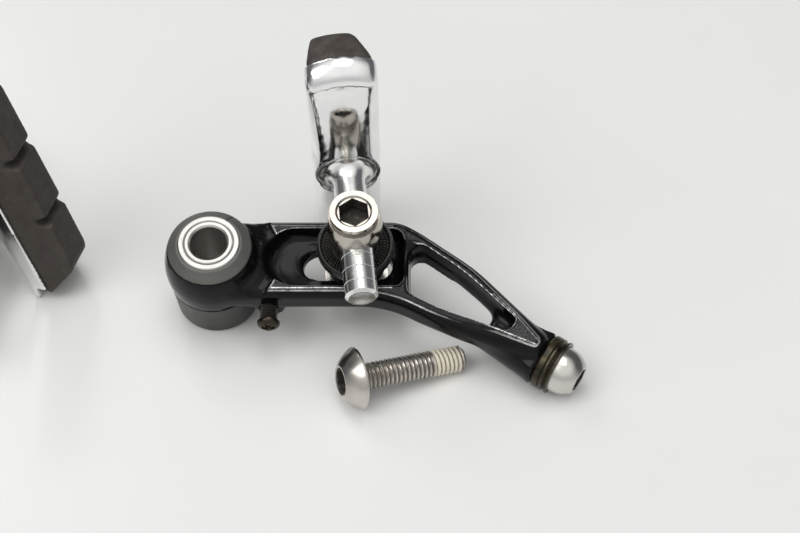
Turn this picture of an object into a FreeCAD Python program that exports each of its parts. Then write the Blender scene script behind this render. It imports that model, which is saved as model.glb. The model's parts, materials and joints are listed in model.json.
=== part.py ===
import FreeCAD
import Part
import Sketcher

import math
import os

# A pair of cantilever brakes that lie on a table. The right brake is modelled piece by piece in its own
# frame: origin at the foot of the pivot, z up the pivot, x towards the pad's clamp, y towards the rim.
# It is then set down on the three points that it rests on, and the left brake is its mirror image.

Vector = FreeCAD.Vector
Rotation = FreeCAD.Rotation
Placement = FreeCAD.Placement
NEAR = 1e-4

DIMENSIONS = {
    # Pivot
    "bore_d": 8.1,
    "sleeve_od": 10.6,
    "hub_height": 24.0,
    "running_gap": 0.05,
    "bush_od": 13.4,
    "cap_od": 18.2,
    "cap_height": 2.5,
    "boss_od": 20.8,
    "boss_top_od": 18.4,
    "boss_foot_od": 19.8,
    "boss_belly": 4.3,
    "boss_bow": 20.8,
    "housing_height": 10.5,
    "housing_top_od": 19.8,
    "housing_foot_od": 18.6,
    "housing_floor": 1.5,
    "housing_wall": 1.2,
    "housing_edge": 0.9,
    "hub_gap": 0.3,
    "small_edge": 0.4,
    "seam_edge": 0.25,
    # Return spring
    "spring_wire": 1.3,
    "spring_mean_d": 14.8,
    "spring_pitch": 1.7,
    "spring_turns": 4.0,
    "spring_tail": 2.6,
    "tail_hole_d": 2.4,
    # Arm
    "land_height": 18.0,
    "blade_thickness": 7.4,
    "blade_width": 19.0,
    "edge_round": 2.2,
    "rail": 2.4,
    "near_rail": 3.3,
    "far_rail": 2.9,
    "elbow_near": 38.0,
    "elbow_far": 42.2,
    "elbow_near_round": 24.0,
    "elbow_far_round": 10.0,
    "anchor_x": 72.2,
    "anchor_y": 21.7,
    "anchor_drop": 7.0,
    "anchor_angle": 33.0,
    "arm_end_d": 12.2,
    "arm_end_chamfer": 0.6,
    "arm_neck": 20.0,
    "arm_neck_d": 8.6,
    "near_bend": 18.8,
    "near_bend_half": 7.1,
    "near_tip_half": 3.0,
    "far_bend": 22.0,
    "far_bend_half": 8.3,
    "far_tip_half": 3.2,
    "bend_round": 40.0,
    "forearm_tip": 0.4,
    "tip_round": 2.0,
    "pocket_start": 11.7,
    "pocket_depth": 4.0,
    "pocket_round": 6.6,
    "pocket_floor_round": 1.6,
    "rib": 1.5,
    "rib_dip": 1.3,
    "slot_width": 7.6,
    "slot_start": 20.0,
    "slot_end": 39.6,
    "window_depth": 4.0,
    "window_ledge": 0.4,
    "window_tip": 8.4,
    "hole_tip": 14.0,
    "hole_tip_half": 2.6,
    "hole_bend": 26.0,
    "hole_bend_round": 8.0,
    "window_end_round": 2.4,
    "window_round": 1.4,
    # Tension screw
    "screw_d": 3.8,
    "screw_x": 12.6,
    "screw_drop": 6.4,
    "screw_boss_d": 6.8,
    "screw_boss_start": 5.8,
    "screw_boss_end": 9.4,
    "screw_length": 9.2,
    "screw_inner": 3.6,
    "screw_head_d": 5.0,
    "screw_head": 1.7,
    "screw_cross": 3.0,
    "screw_cross_width": 0.9,
    "screw_cross_depth": 0.9,
    # Clamp
    "clamp_x": 31.6,
    "stud_d": 5.9,
    "washer_gap": 0.25,
    "seat_od": 13.2,
    "seat_top_od": 10.4,
    "seat_height": 6.8,
    "seat_bow": 9.0,
    "knurl_od": 16.6,
    "knurl_height": 2.7,
    "knurl_dish_d": 15.2,
    "knurl_floor_d": 9.8,
    "knurl_dish": 0.8,
    "knurl_chamfer": 0.5,
    "eye_d": 12.0,
    "eye_height": 14.2,
    "eye_foot_d": 8.8,
    "eye_belly": 8.6,
    "eye_bow": 30.0,
    "eye_shoulder_d": 10.8,
    "eye_shoulder_bow": 7.6,
    "eye_ring_d": 10.2,
    "eye_ring": 1.9,
    "eye_edge": 1.1,
    "eye_groove": 0.3,
    "eye_hole_height": 5.4,
    "eye_socket": 6.0,
    "eye_socket_depth": 4.4,
    "eye_socket_angle": 30.0,
    "stud_overhang": 1.2,
    "low_washer_od": 14.0,
    "low_washer": 2.0,
    "nut_flats": 10.0,
    "nut_height": 5.0,
    # Pad
    "post_d": 7.0,
    "post_gap": 0.08,
    "post_angle": 6.2,
    "post_tail": 16.0,
    "post_reach": 18.0,
    "post_chamfer": 0.6,
    "flare_length": 3.4,
    "flare_bow": 3.5,
    "flange_d": 12.6,
    "flange": 1.2,
    "socket_gap": 0.1,
    "socket_boss_d": 14.3,
    "socket_boss": 2.9,
    "spigot_d": 8.0,
    "pad_bow": 2500.0,
    "holder_width": 15.0,
    "holder_up": 31.2,
    "holder_down": 34.6,
    "holder_depth": 5.0,
    "holder_back": 2.3,
    "holder_wall": 1.5,
    "holder_top_round": 4.2,
    "holder_edge": 1.6,
    "ramp_width": 12.8,
    "ramp_crest": 6.5,
    "ramp_foot": 27.0,
    "lip_length": 3.0,
    "rubber_end_gap": 0.9,
    "rubber_base_width": 14.0,
    "rubber_height": 8.6,
    "rubber_face_in": 5.4,
    "rubber_face_out": 2.6,
    "rubber_low_slope": 6.5,
    "rubber_top_slope": 1.5,
    "rubber_round": 4.5,
    "groove_first": 12.5,
    "groove_pitch": 16.9,
    "groove_count": 3,
    "groove_width": 2.7,
    "groove_floor": 1.8,
    "groove_depth": 3.0,
    "pad_screw_d": 3.0,
    "pad_screw_up": 27.0,
    "pad_screw_length": 4.2,
    "pad_screw_socket": 1.5,
    "pad_screw_socket_depth": 1.2,
    # Cable anchor
    "anchor_hole_d": 6.0,
    "anchor_hole_depth": 7.6,
    "anchor_thread": 6.8,
    "ring_od": 12.2,
    "ring_inner": 1.9,
    "ring_outer": 1.9,
    "ring_groove": 0.5,
    "dome_d": 10.4,
    "dome_flat_d": 6.6,
    "dome_height": 5.0,
    "dome_rim": 1.2,
    "dome_bow": 6.2,
    "anchor_socket": 5.0,
    "anchor_socket_depth": 3.0,
    # Mounting bolt
    "bolt_d": 5.9,
    "bolt_length": 24.4,
    "bolt_head_d": 13.5,
    "bolt_head_rim": 0.6,
    "bolt_head": 4.1,
    "bolt_head_flat": 7.0,
    "bolt_head_bow": 13.5,
    "bolt_socket": 5.0,
    "bolt_socket_depth": 3.0,
    "bolt_point": 0.8,
    # Places on the table
    "bolt_x": 32.4,
    "bolt_y": 28.5,
    "bolt_angle": 21.1,
    "left_x": 64.5,
    "left_y": 17.6,
    "left_angle": 98.5,
}

document = FreeCAD.newDocument("CantileverBrakes")
sheet = document.addObject("Spreadsheet::Sheet", "Sizes")
for row, (alias, number) in enumerate(DIMENSIONS.items(), start=1):
    sheet.set(f"A{row}", alias)
    sheet.set(f"B{row}", str(number))
    sheet.setAlias(f"B{row}", alias)
document.recompute()


class Size(float):
    """A number that keeps the sheet expression it comes from."""

    def __new__(cls, number, text):
        size = super().__new__(cls, number)
        size.text = text
        return size

    def __add__(self, other):
        return Size(float(self) + float(other), f"({self.text} + {text_of(other)})")

    def __radd__(self, other):
        return Size(float(other) + float(self), f"({text_of(other)} + {self.text})")

    def __sub__(self, other):
        return Size(float(self) - float(other), f"({self.text} - {text_of(other)})")

    def __rsub__(self, other):
        return Size(float(other) - float(self), f"({text_of(other)} - {self.text})")

    def __mul__(self, other):
        return Size(float(self) * float(other), f"({self.text} * {text_of(other)})")

    __rmul__ = __mul__

    def __truediv__(self, other):
        return Size(float(self) / float(other), f"({self.text} / {text_of(other)})")

    def __neg__(self):
        return Size(-float(self), f"(-{self.text})")


class SheetSizes:
    """Reads the sheet's cells by their aliases."""

    def __getattr__(self, alias):
        return Size(sheet.get(alias), f"Sizes.{alias}")


def text_of(number):
    """The expression of a size, or the plain number."""
    return number.text if isinstance(number, Size) else repr(float(number))


def bind(feature, prop, number):
    """Sets a property and ties it to the sheet where the number comes from there."""
    if "." not in prop:
        setattr(feature, prop, float(number))
    if isinstance(number, Size):
        feature.setExpression(prop, number.text)


size = SheetSizes()


def new_body(label):
    """A body whose label names the piece."""
    body = document.addObject("PartDesign::Body", "Body")
    body.Label = label
    return body


def new_sketch(body, name, role="XY_Plane", height=0.0):
    """A sketch on one of the body's own origin planes, raised along the plane's normal."""
    sketch = body.newObject("Sketcher::SketchObject", name)
    plane = next(item for item in body.Origin.OriginFeatures if item.Role == role)
    sketch.AttachmentSupport = [(plane, "")]
    sketch.MapMode = "FlatFace"
    sketch.AttachmentOffset = Placement(Vector(0, 0, float(height)), Rotation())
    if isinstance(height, Size):
        sketch.setExpression("AttachmentOffset.Base.z", height.text)
    return sketch


def fix_point(sketch, geometry, end, point, name):
    """Dimensions a sketch point from the origin."""
    for axis, kind, number in ((-2, "DistanceX", point[0]), (-1, "DistanceY", point[1])):
        if abs(number) < 1e-9:
            sketch.addConstraint(Sketcher.Constraint("PointOnObject", geometry, end, axis))
            continue
        index = sketch.addConstraint(Sketcher.Constraint(kind, geometry, end, float(number)))
        sketch.renameConstraint(index, f"{name}_{kind}")
        if isinstance(number, Size):
            sketch.setExpression(f"Constraints.{name}_{kind}", number.text)


def fix_radius(sketch, geometry, radius, name):
    """Dimensions an arc or circle."""
    index = sketch.addConstraint(Sketcher.Constraint("Radius", geometry, float(radius)))
    sketch.renameConstraint(index, name)
    if isinstance(radius, Size):
        sketch.setExpression(f"Constraints.{name}", radius.text)


def arc_through(start, end, radius):
    """The short arc from start to end, with its centre on the left for a positive radius."""
    chord = end - start
    left = Vector(-chord.y, chord.x, 0).normalize()
    rise = math.sqrt(radius * radius - chord.Length ** 2 / 4.0)
    sagitta = abs(radius) - rise
    middle = (start + end) * 0.5 - left * math.copysign(sagitta, radius)
    return Part.Arc(start, middle, end)


def add_arc(sketch, start, end, radius, name):
    """Adds a dimensioned arc and says which of its ends is the start."""
    arc = sketch.addGeometry(arc_through(start, end, float(radius)), False)
    fix_radius(sketch, arc, radius if radius > 0 else -radius, name)
    swapped = sketch.getPoint(arc, 1).distanceToPoint(start) > 1e-6
    return (arc, 2, 1) if swapped else (arc, 1, 2)


def rounding(before, corner, after, radius):
    """Where the rounding of a corner leaves its two sides."""
    back = (before - corner).normalize()
    ahead = (after - corner).normalize()
    reach = float(radius) / math.tan(back.getAngle(ahead) / 2.0)
    return corner + back * reach, corner + ahead * reach


def draw_outline(sketch, corners, rounds=None, bows=None):
    """Draws a closed outline with dimensioned corners.

    rounds gives the radius of each rounded corner. bows gives the radius of each side that is an arc, from
    the corner of that number to the next, with its centre on the left for a positive radius.
    """
    rounds = rounds or {}
    bows = bows or {}
    points = [Vector(float(x), float(y), 0) for x, y in corners]
    after = points[1:] + points[:1]
    leave = {i: rounding(points[i - 1], points[i], after[i], radius) for i, radius in rounds.items()}
    sides = []
    for i, point in enumerate(points):
        j = (i + 1) % len(points)
        start = leave[i][1] if i in leave else point
        end = leave[j][0] if j in leave else points[j]
        if i in bows:
            sides.append(add_arc(sketch, start, end, bows[i], f"bow{i}"))
        else:
            sides.append((sketch.addGeometry(Part.LineSegment(start, end), False), 1, 2))
    for i, point in enumerate(points):
        side_in, side_out = sides[i - 1], sides[i]
        if i not in leave:
            sketch.addConstraint(
                Sketcher.Constraint("Coincident", side_in[0], side_in[2], side_out[0], side_out[1]))
            fix_point(sketch, side_out[0], side_out[1], corners[i], f"corner{i}")
            continue
        turns_left = (point - points[i - 1]).cross(after[i] - point).z > 0
        arc = add_arc(sketch, *leave[i], rounds[i] if turns_left else -rounds[i], f"round{i}")
        sketch.addConstraint(Sketcher.Constraint("Tangent", side_in[0], side_in[2], arc[0], arc[1]))
        sketch.addConstraint(Sketcher.Constraint("Tangent", side_out[0], side_out[1], arc[0], arc[2]))
        mark = sketch.addGeometry(Part.Point(point), True)
        sketch.addConstraint(Sketcher.Constraint("PointOnObject", mark, 1, side_in[0]))
        sketch.addConstraint(Sketcher.Constraint("PointOnObject", mark, 1, side_out[0]))
        fix_point(sketch, mark, 1, corners[i], f"corner{i}")


def turned(label, corners, rounds=None, bows=None):
    """A piece turned about its own z axis from a profile of (radius, height) corners."""
    body = new_body(label)
    add_turned(body, "Profile", corners, rounds, bows)
    return body


def add_turned(body, name, corners, rounds=None, bows=None):
    """Adds a turned shape to a body."""
    sketch = new_sketch(body, name, "XZ_Plane")
    draw_outline(sketch, corners, rounds, bows)
    turn = body.newObject("PartDesign::Revolution", f"{name}Turned")
    turn.Profile = sketch
    turn.ReferenceAxis = (sketch, ["V_Axis"])
    turn.Angle = 360
    document.recompute()


def add_pad(body, name, outline, length, height=0.0):
    """Adds an outline raised along z."""
    sketch = new_sketch(body, name, "XY_Plane", height)
    draw_outline(sketch, *outline)
    pad = body.newObject("PartDesign::Pad", f"{name}Pad")
    pad.Profile = sketch
    bind(pad, "Length", length)
    document.recompute()
    return pad


def cut_pocket(body, name, outline, height, depth):
    """Cuts an outline downwards from a height."""
    sketch = new_sketch(body, name, "XY_Plane", height)
    draw_outline(sketch, *outline)
    pocket = body.newObject("PartDesign::Pocket", f"{name}Cut")
    pocket.Profile = sketch
    before = body.Shape.Volume
    bind(pocket, "Length", depth)
    document.recompute()
    if body.Shape.Volume >= before:
        raise ValueError(f"{body.Label}: {name} cuts nothing")
    return pocket


def add_round(body, kind, name, place, **numbers):
    """Adds or cuts a cylinder, cone or prism whose sizes are tied to the sheet."""
    feature = body.newObject(f"PartDesign::{kind}", name)
    for prop, number in numbers.items():
        bind(feature, prop, number)
    feature.Placement = place
    document.recompute()
    return feature


def cut_hexagon(body, flats, depth, top, angle=0.0):
    """Cuts a hexagon socket down from the top of a turned piece, turned by an angle in degrees."""
    socket = body.newObject("PartDesign::SubtractivePrism", "Socket")
    socket.Polygon = 6
    bind(socket, "Circumradius", flats / math.sqrt(3.0))
    bind(socket, "Height", depth)
    socket.Placement = Placement(Vector(0, 0, float(top - depth)), Rotation(Vector(0, 0, 1), float(angle)))
    document.recompute()


def round_edges(body, name, edges, radius):
    """Rounds chosen edges of the body's last feature."""
    last = body.Tip
    fillet = body.newObject("PartDesign::Fillet", name)
    fillet.Base = (last, edges)
    bind(fillet, "Radius", radius)
    document.recompute()


def edges_where(shape, test):
    """The names of a shape's edges whose bounding boxes pass a test."""
    return [f"Edge{number}" for number, edge in enumerate(shape.Edges, start=1) if test(edge.BoundBox)]


def edges_at(shape, height):
    """The names of a shape's edges that lie level at a height."""
    return edges_where(shape, lambda box: box.ZLength < NEAR and abs(box.ZMin - height) < NEAR)


def facing(direction):
    """The rotation that turns z to a direction."""
    return Rotation(Vector(0, 0, 1), direction)


# Heights and directions shared by several pieces
blade_bottom = size.land_height - size.blade_thickness
boss_bottom = size.housing_height + size.hub_gap
boss_top = size.hub_height - size.cap_height
pocket_floor = size.land_height - size.pocket_depth
eye_bottom = pocket_floor + size.seat_height + size.knurl_height - size.knurl_dish
post_height = eye_bottom + size.eye_hole_height
half_blade = size.blade_width / 2.0
anchor_turn = math.radians(size.anchor_angle)
along_anchor = Vector(math.cos(anchor_turn), -math.sin(anchor_turn), 0)
across_anchor = Vector(math.sin(anchor_turn), math.cos(anchor_turn), 0)
anchor_height = size.land_height - size.anchor_drop
screw_height = size.land_height - size.screw_drop
anchor_end = Vector(size.anchor_x, -size.anchor_y, anchor_height)
post_turn = math.radians(size.post_angle)
along_post = Vector(-math.sin(post_turn), math.cos(post_turn), 0)
clamp_centre = Vector(size.clamp_x, 0, 0)
post_centre = Vector(size.clamp_x, 0, post_height)


def at_anchor(back, side):
    """A point of the forearm, given back from the arm's end and across it towards the rim."""
    return anchor_end - along_anchor * float(back) + across_anchor * float(side)


def across_at(back):
    """Two points of the line across the forearm at a distance back from the arm's end."""
    return at_anchor(back, 0), at_anchor(back, 1)


def flat(point):
    """A point's place in plan."""
    return (point.x, point.y)


def meet(start, end, other_start, other_end):
    """Where two lines meet in plan."""
    first = end - start
    second = other_end - other_start
    share = (other_start - start).cross(second).z / first.cross(second).z
    return start + first * share


def inset(corners, distance):
    """The corners of an outline moved inwards, for an outline that runs anticlockwise."""
    lines = []
    for i, point in enumerate(corners):
        nxt = corners[(i + 1) % len(corners)]
        side = (nxt - point).normalize()
        inward = Vector(-side.y, side.x, 0) * float(distance)
        lines.append((point + inward, nxt + inward))
    return [meet(*lines[i - 1], *lines[i]) for i in range(len(lines))]


def add_arm_end(body):
    """Adds the arm's round end, which flares out from its root under the forearm to the cable's bolt."""
    end = size.arm_end_d / 2.0
    edge = size.arm_end_chamfer
    sketch = new_sketch(body, "End", "XY_Plane", anchor_height)
    profile = [
        (size.arm_neck, 0.0), (0.0, 0.0), (0.0, end - edge), (edge, end),
        (size.arm_neck, size.arm_neck_d / 2.0)]
    corners = [flat(at_anchor(*point)) for point in profile]
    draw_outline(sketch, corners)
    axis = sketch.addGeometry(Part.LineSegment(Vector(*corners[0], 0), Vector(*corners[1], 0)), True)
    for point, place in ((1, corners[0]), (2, corners[1])):
        fix_point(sketch, axis, point, place, f"axis{point}")
    turn = body.newObject("PartDesign::Revolution", "EndTurned")
    turn.Profile = sketch
    turn.ReferenceAxis = (sketch, ["Axis0"])
    turn.Angle = 360
    document.recompute()


def make_arm():
    """The forged arm: hub boss, open pocket with the clamp's slot, forked window and round cable end."""
    body = new_body("arm")
    near_elbow = Vector(size.elbow_near, -half_blade, 0)
    far_elbow = Vector(size.elbow_far, half_blade, 0)
    outline = [
        Vector(0, -half_blade, 0), near_elbow, at_anchor(size.near_bend, -size.near_bend_half),
        at_anchor(size.forearm_tip, -size.near_tip_half), at_anchor(size.forearm_tip, size.far_tip_half),
        at_anchor(size.far_bend, size.far_bend_half), far_elbow, Vector(0, half_blade, 0)]
    rounds = {
        1: size.elbow_near_round, 2: size.bend_round, 3: size.tip_round, 4: size.tip_round,
        5: size.bend_round, 6: size.elbow_far_round}
    pad = add_pad(body, "Blade", ([flat(point) for point in outline], rounds),
                  size.blade_thickness, blade_bottom)
    rims = edges_at(pad.Shape, blade_bottom) + edges_at(pad.Shape, size.land_height)
    round_edges(body, "BladeEdges", rims, size.edge_round)
    add_arm_end(body)

    bush_radius = size.bush_od / 2.0
    add_turned(body, "Boss", [
        (0.0, boss_bottom), (size.boss_foot_od / 2.0, boss_bottom),
        (size.boss_od / 2.0, boss_bottom + size.boss_belly),
        (size.boss_top_od / 2.0, boss_top), (0.0, boss_top)],
        bows={1: size.boss_bow, 2: size.boss_bow})
    screw_out = Vector(0, -1, 0)
    add_round(body, "AdditiveCylinder", "ScrewBoss",
              Placement(Vector(size.screw_x, -size.screw_boss_start, screw_height), facing(screw_out)),
              Radius=size.screw_boss_d / 2.0, Height=size.screw_boss_end - size.screw_boss_start)

    pocket_side = half_blade - size.rail
    rib_middle = meet(near_elbow, far_elbow, Vector(0, 0, 0), Vector(1, 0, 0)).x + size.rail
    pocket_end = rib_middle - size.rib / 2.0
    window_start = rib_middle + size.rib / 2.0
    cut_pocket(body, "Pocket", ([
        (size.pocket_start, -pocket_side), (pocket_end, -pocket_side), (pocket_end, pocket_side),
        (size.pocket_start, pocket_side)],
        {0: size.pocket_round, 1: size.tip_round, 2: size.tip_round, 3: size.pocket_round}),
        size.land_height, size.pocket_depth)
    round_edges(body, "PocketFloor", edges_at(body.Shape, pocket_floor), size.pocket_floor_round)
    half_slot = size.slot_width / 2.0
    cut_pocket(body, "Slot", ([
        (size.slot_start, -half_slot), (size.slot_end, -half_slot), (size.slot_end, half_slot),
        (size.slot_start, half_slot)],
        {i: half_slot - size.running_gap for i in range(4)}), pocket_floor, size.blade_thickness)

    near_walls = inset(outline, size.near_rail)
    far_walls = inset(outline, size.far_rail)
    window_left = (Vector(window_start, 0, 0), Vector(window_start, 1, 0))
    window_tip = across_at(size.window_tip)
    window = [
        meet(near_walls[1], near_walls[2], *window_left), near_walls[2],
        meet(near_walls[2], near_walls[3], *window_tip), meet(far_walls[4], far_walls[5], *window_tip),
        far_walls[5], meet(far_walls[5], far_walls[6], *window_left)]
    cut_pocket(body, "Window", ([flat(point) for point in window],
               {0: size.window_end_round, 1: size.bend_round, 2: size.window_round, 3: size.window_round,
                4: size.bend_round, 5: size.window_end_round}),
               size.land_height, size.window_depth)
    ledge = inset(window, size.window_ledge)
    hole = [
        ledge[0], ledge[1], meet(ledge[1], ledge[2], *across_at(size.hole_tip)),
        at_anchor(size.hole_tip, size.hole_tip_half),
        meet(ledge[4], ledge[5], *across_at(size.hole_bend)), ledge[5]]
    cut_pocket(body, "WindowHole", ([flat(point) for point in hole],
               {0: size.window_end_round, 1: size.bend_round, 2: size.window_round, 3: size.window_round,
                4: size.hole_bend_round, 5: size.window_end_round}),
               size.land_height - size.window_depth, size.land_height)
    root = [
        at_anchor(size.arm_neck + size.rail, 0), at_anchor(size.hole_tip, 0),
        at_anchor(size.hole_tip, size.arm_end_d / 2.0),
        at_anchor(size.arm_neck + size.rail, size.arm_end_d / 2.0)]
    cut_pocket(body, "EndRoot", ([flat(point) for point in root], {}), blade_bottom, size.land_height)

    dip_half = pocket_side - size.window_end_round
    dip_radius = (dip_half * dip_half + size.rib_dip * size.rib_dip) / (2.0 * size.rib_dip)
    add_round(body, "SubtractiveCylinder", "RibDip",
              Placement(Vector(pocket_end - size.rib, 0, size.land_height + dip_radius - size.rib_dip),
                        facing(Vector(1, 0, 0))),
              Radius=dip_radius, Height=size.rib * 3.0)

    add_round(body, "SubtractiveCylinder", "BushBore", Placement(Vector(0, 0, 0), Rotation()),
              Radius=bush_radius, Height=size.hub_height)
    add_round(body, "SubtractiveCylinder", "HousingRoom", Placement(Vector(0, 0, 0), Rotation()),
              Radius=size.housing_top_od / 2.0 + size.hub_gap, Height=boss_bottom)
    tail_top = boss_bottom + size.spring_tail + size.hub_gap
    add_round(body, "SubtractiveCylinder", "SpringHole",
              Placement(Vector(0, size.spring_mean_d / 2.0, 0), Rotation()),
              Radius=size.tail_hole_d / 2.0, Height=tail_top)
    add_round(body, "SubtractiveCylinder", "ScrewHole",
              Placement(Vector(size.screw_x, 0, screw_height), facing(screw_out)),
              Radius=size.screw_d / 2.0 + size.running_gap, Height=size.screw_boss_end * 2.0)
    start = anchor_end - along_anchor * float(size.anchor_hole_depth)
    add_round(body, "SubtractiveCylinder", "AnchorHole", Placement(start, facing(along_anchor)),
              Radius=size.anchor_hole_d / 2.0, Height=size.anchor_hole_depth * 2.0)
    return body


def make_pivot():
    """The pieces of the pivot, all on the pivot's axis."""
    bore = size.bore_d / 2.0
    sleeve = size.sleeve_od / 2.0
    bush = size.bush_od / 2.0
    chamfer = size.small_edge
    seam = size.seam_edge
    pieces = [turned("pivot_sleeve", [
        (bore + chamfer, 0.0), (sleeve, 0.0), (sleeve, size.hub_height - seam),
        (sleeve - seam, size.hub_height), (bore + chamfer, size.hub_height),
        (bore, size.hub_height - chamfer), (bore, chamfer)])]
    bush_top = size.hub_height - size.running_gap
    pieces.append(turned("pivot_bush", [
        (sleeve + size.running_gap, boss_bottom), (bush, boss_bottom), (bush, bush_top - seam),
        (bush - seam, bush_top), (sleeve + size.running_gap + seam, bush_top),
        (sleeve + size.running_gap, bush_top - seam)]))
    pieces.append(turned("pivot_cap", [
        (bush, boss_top), (size.cap_od / 2.0, boss_top),
        (size.cap_od / 2.0, boss_top + size.small_edge),
        (bush + size.small_edge, bush_top - size.small_edge), (bush, bush_top - size.small_edge)]))
    foot = size.housing_foot_od / 2.0
    top = size.housing_top_od / 2.0
    cavity = foot - size.housing_wall
    housing = turned("spring_housing", [
        (sleeve, 0.0), (foot, 0.0), (top, size.housing_height), (cavity, size.housing_height),
        (cavity, size.housing_floor), (sleeve, size.housing_floor)], {1: size.housing_edge})
    add_round(housing, "SubtractiveCylinder", "TailHole",
              Placement(Vector(0, size.spring_mean_d / 2.0, 0), Rotation()),
              Radius=size.tail_hole_d / 2.0, Height=size.housing_floor)
    pieces.append(housing)
    return pieces


def make_spring():
    """The return spring, with a tail down for the frame's boss and one up into the arm."""
    body = new_body("return_spring")
    wire = size.spring_wire
    coil = size.spring_mean_d / 2.0
    low = size.housing_floor + size.running_gap
    sketch = new_sketch(body, "Wire", "XZ_Plane")
    draw_outline(sketch, [
        (coil - wire / 2.0, low), (coil + wire / 2.0, low), (coil + wire / 2.0, low + wire),
        (coil - wire / 2.0, low + wire)])
    helix = body.newObject("PartDesign::AdditiveHelix", "Coil")
    helix.Profile = sketch
    helix.ReferenceAxis = (sketch, ["V_Axis"])
    helix.Mode = 0
    bind(helix, "Pitch", size.spring_pitch)
    bind(helix, "Height", size.spring_pitch * size.spring_turns)
    document.recompute()
    top = low + size.spring_pitch * size.spring_turns
    for name, start, end in (
            ("LowTail", -size.spring_tail, low + wire),
            ("HighTail", top, boss_bottom + size.spring_tail)):
        tail = body.newObject("PartDesign::AdditiveBox", name)
        bind(tail, "Length", wire)
        bind(tail, "Width", wire)
        bind(tail, "Height", end - start)
        tail.Placement = Placement(Vector(coil - wire / 2.0, -wire / 2.0, start), Rotation())
        document.recompute()
    return body


def make_tension_screw():
    """The screw that sets the spring's tension, turned about its own axis from the head's face."""
    head = size.screw_head_d / 2.0
    shank = size.screw_d / 2.0
    tip = size.screw_head + size.screw_length
    edge = size.small_edge
    body = turned("tension_screw", [
        (0.0, 0.0), (head - edge, 0.0), (head, edge), (head, size.screw_head), (shank, size.screw_head),
        (shank, tip), (0.0, tip)])
    for name, length, width in (
            ("CrossAlong", size.screw_cross, size.screw_cross_width),
            ("CrossOver", size.screw_cross_width, size.screw_cross)):
        cut = body.newObject("PartDesign::SubtractiveBox", name)
        bind(cut, "Length", length)
        bind(cut, "Width", width)
        bind(cut, "Height", size.screw_cross_depth)
        cut.Placement = Placement(Vector(-length / 2.0, -width / 2.0, 0), Rotation())
        document.recompute()
    return body


def make_clamp():
    """The eyebolt with the washers and the nut that hold it in the arm's slot."""
    stud = size.stud_d / 2.0
    hole = stud + size.washer_gap
    seat_top = pocket_floor + size.seat_height
    foot = half_blade - size.rail - size.pocket_floor_round - size.hub_gap
    seat = turned("seat_washer", [
        (hole, pocket_floor), (foot, pocket_floor),
        (size.seat_od / 2.0, pocket_floor + size.pocket_floor_round), (size.seat_top_od / 2.0, seat_top),
        (hole, seat_top)], bows={2: size.seat_bow})

    rim = size.knurl_od / 2.0
    knurl_top = seat_top + size.knurl_height
    dish = size.knurl_dish_d / 2.0
    knurled = turned("knurled_washer", [
        (hole, seat_top), (size.seat_top_od / 2.0, seat_top), (rim, seat_top + size.knurl_chamfer),
        (rim, knurl_top - size.knurl_chamfer), (rim - size.knurl_chamfer, knurl_top),
        (dish, knurl_top), (size.knurl_floor_d / 2.0, knurl_top - size.knurl_dish),
        (hole, knurl_top - size.knurl_dish)])

    eye = size.eye_d / 2.0
    eye_top = eye_bottom + size.eye_height
    nut_bottom = blade_bottom - size.low_washer - size.nut_height
    stud_end = nut_bottom - size.stud_overhang
    ring = size.eye_ring_d / 2.0
    neck = eye_top - size.eye_ring
    countersink = size.eye_socket / math.sqrt(3.0) + size.small_edge
    eyebolt = turned("eyebolt", [
        (0.0, stud_end), (stud - size.post_chamfer, stud_end), (stud, stud_end + size.post_chamfer),
        (stud, eye_bottom), (size.eye_foot_d / 2.0, eye_bottom), (eye, eye_bottom + size.eye_belly),
        (size.eye_shoulder_d / 2.0, neck - size.eye_groove), (ring - size.eye_groove, neck - size.eye_groove),
        (ring - size.eye_groove, neck), (ring, neck), (ring, eye_top), (countersink, eye_top),
        (countersink - size.small_edge, eye_top - size.small_edge), (0.0, eye_top - size.small_edge)],
        {9: size.eye_edge}, {4: size.eye_bow, 5: size.eye_shoulder_bow})
    cut_hexagon(eyebolt, size.eye_socket, size.eye_socket_depth, eye_top, size.eye_socket_angle)
    add_round(eyebolt, "SubtractiveCylinder", "PostHole",
              Placement(Vector(0, -size.eye_d, post_height), facing(Vector(0, 1, 0))),
              Radius=size.post_d / 2.0 + size.post_gap, Height=size.eye_d * 2.0)

    washer = turned("lower_washer", [
        (hole, blade_bottom - size.low_washer), (size.low_washer_od / 2.0, blade_bottom - size.low_washer),
        (size.low_washer_od / 2.0, blade_bottom), (hole, blade_bottom)])

    nut = new_body("clamp_nut")
    hexagon = nut.newObject("PartDesign::AdditivePrism", "Hexagon")
    hexagon.Polygon = 6
    bind(hexagon, "Circumradius", size.nut_flats / math.sqrt(3.0))
    bind(hexagon, "Height", size.nut_height)
    hexagon.Placement = Placement(Vector(0, 0, nut_bottom), Rotation())
    document.recompute()
    add_round(nut, "SubtractiveCylinder", "Thread", Placement(Vector(0, 0, nut_bottom), Rotation()),
              Radius=stud + size.running_gap, Height=size.nut_height)
    return [seat, knurled, eyebolt, washer, nut]


# The pad's own frame: z along the post towards the rim with 0 at the holder's back, y up the pad, x towards
# the wheel's axle, which is the centre of the pad's bow
socket_depth = size.flange + size.running_gap
flange_back = size.post_reach - size.socket_boss + socket_depth - size.running_gap
spigot_end = size.post_reach + size.holder_back / 2.0


def make_post():
    """The pad's post, with a flared foot that sits in the holder's socket."""
    shaft = size.post_d / 2.0
    flange = size.flange_d / 2.0
    flare_top = flange_back - size.flange
    return turned("pad_post", [
        (0.0, -size.post_tail), (shaft - size.post_chamfer, -size.post_tail),
        (shaft, -size.post_tail + size.post_chamfer), (shaft, flare_top - size.flare_length),
        (flange, flare_top), (flange, flange_back), (size.spigot_d / 2.0, flange_back),
        (size.spigot_d / 2.0, spigot_end), (0.0, spigot_end)], bows={3: -size.flare_bow})


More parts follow.
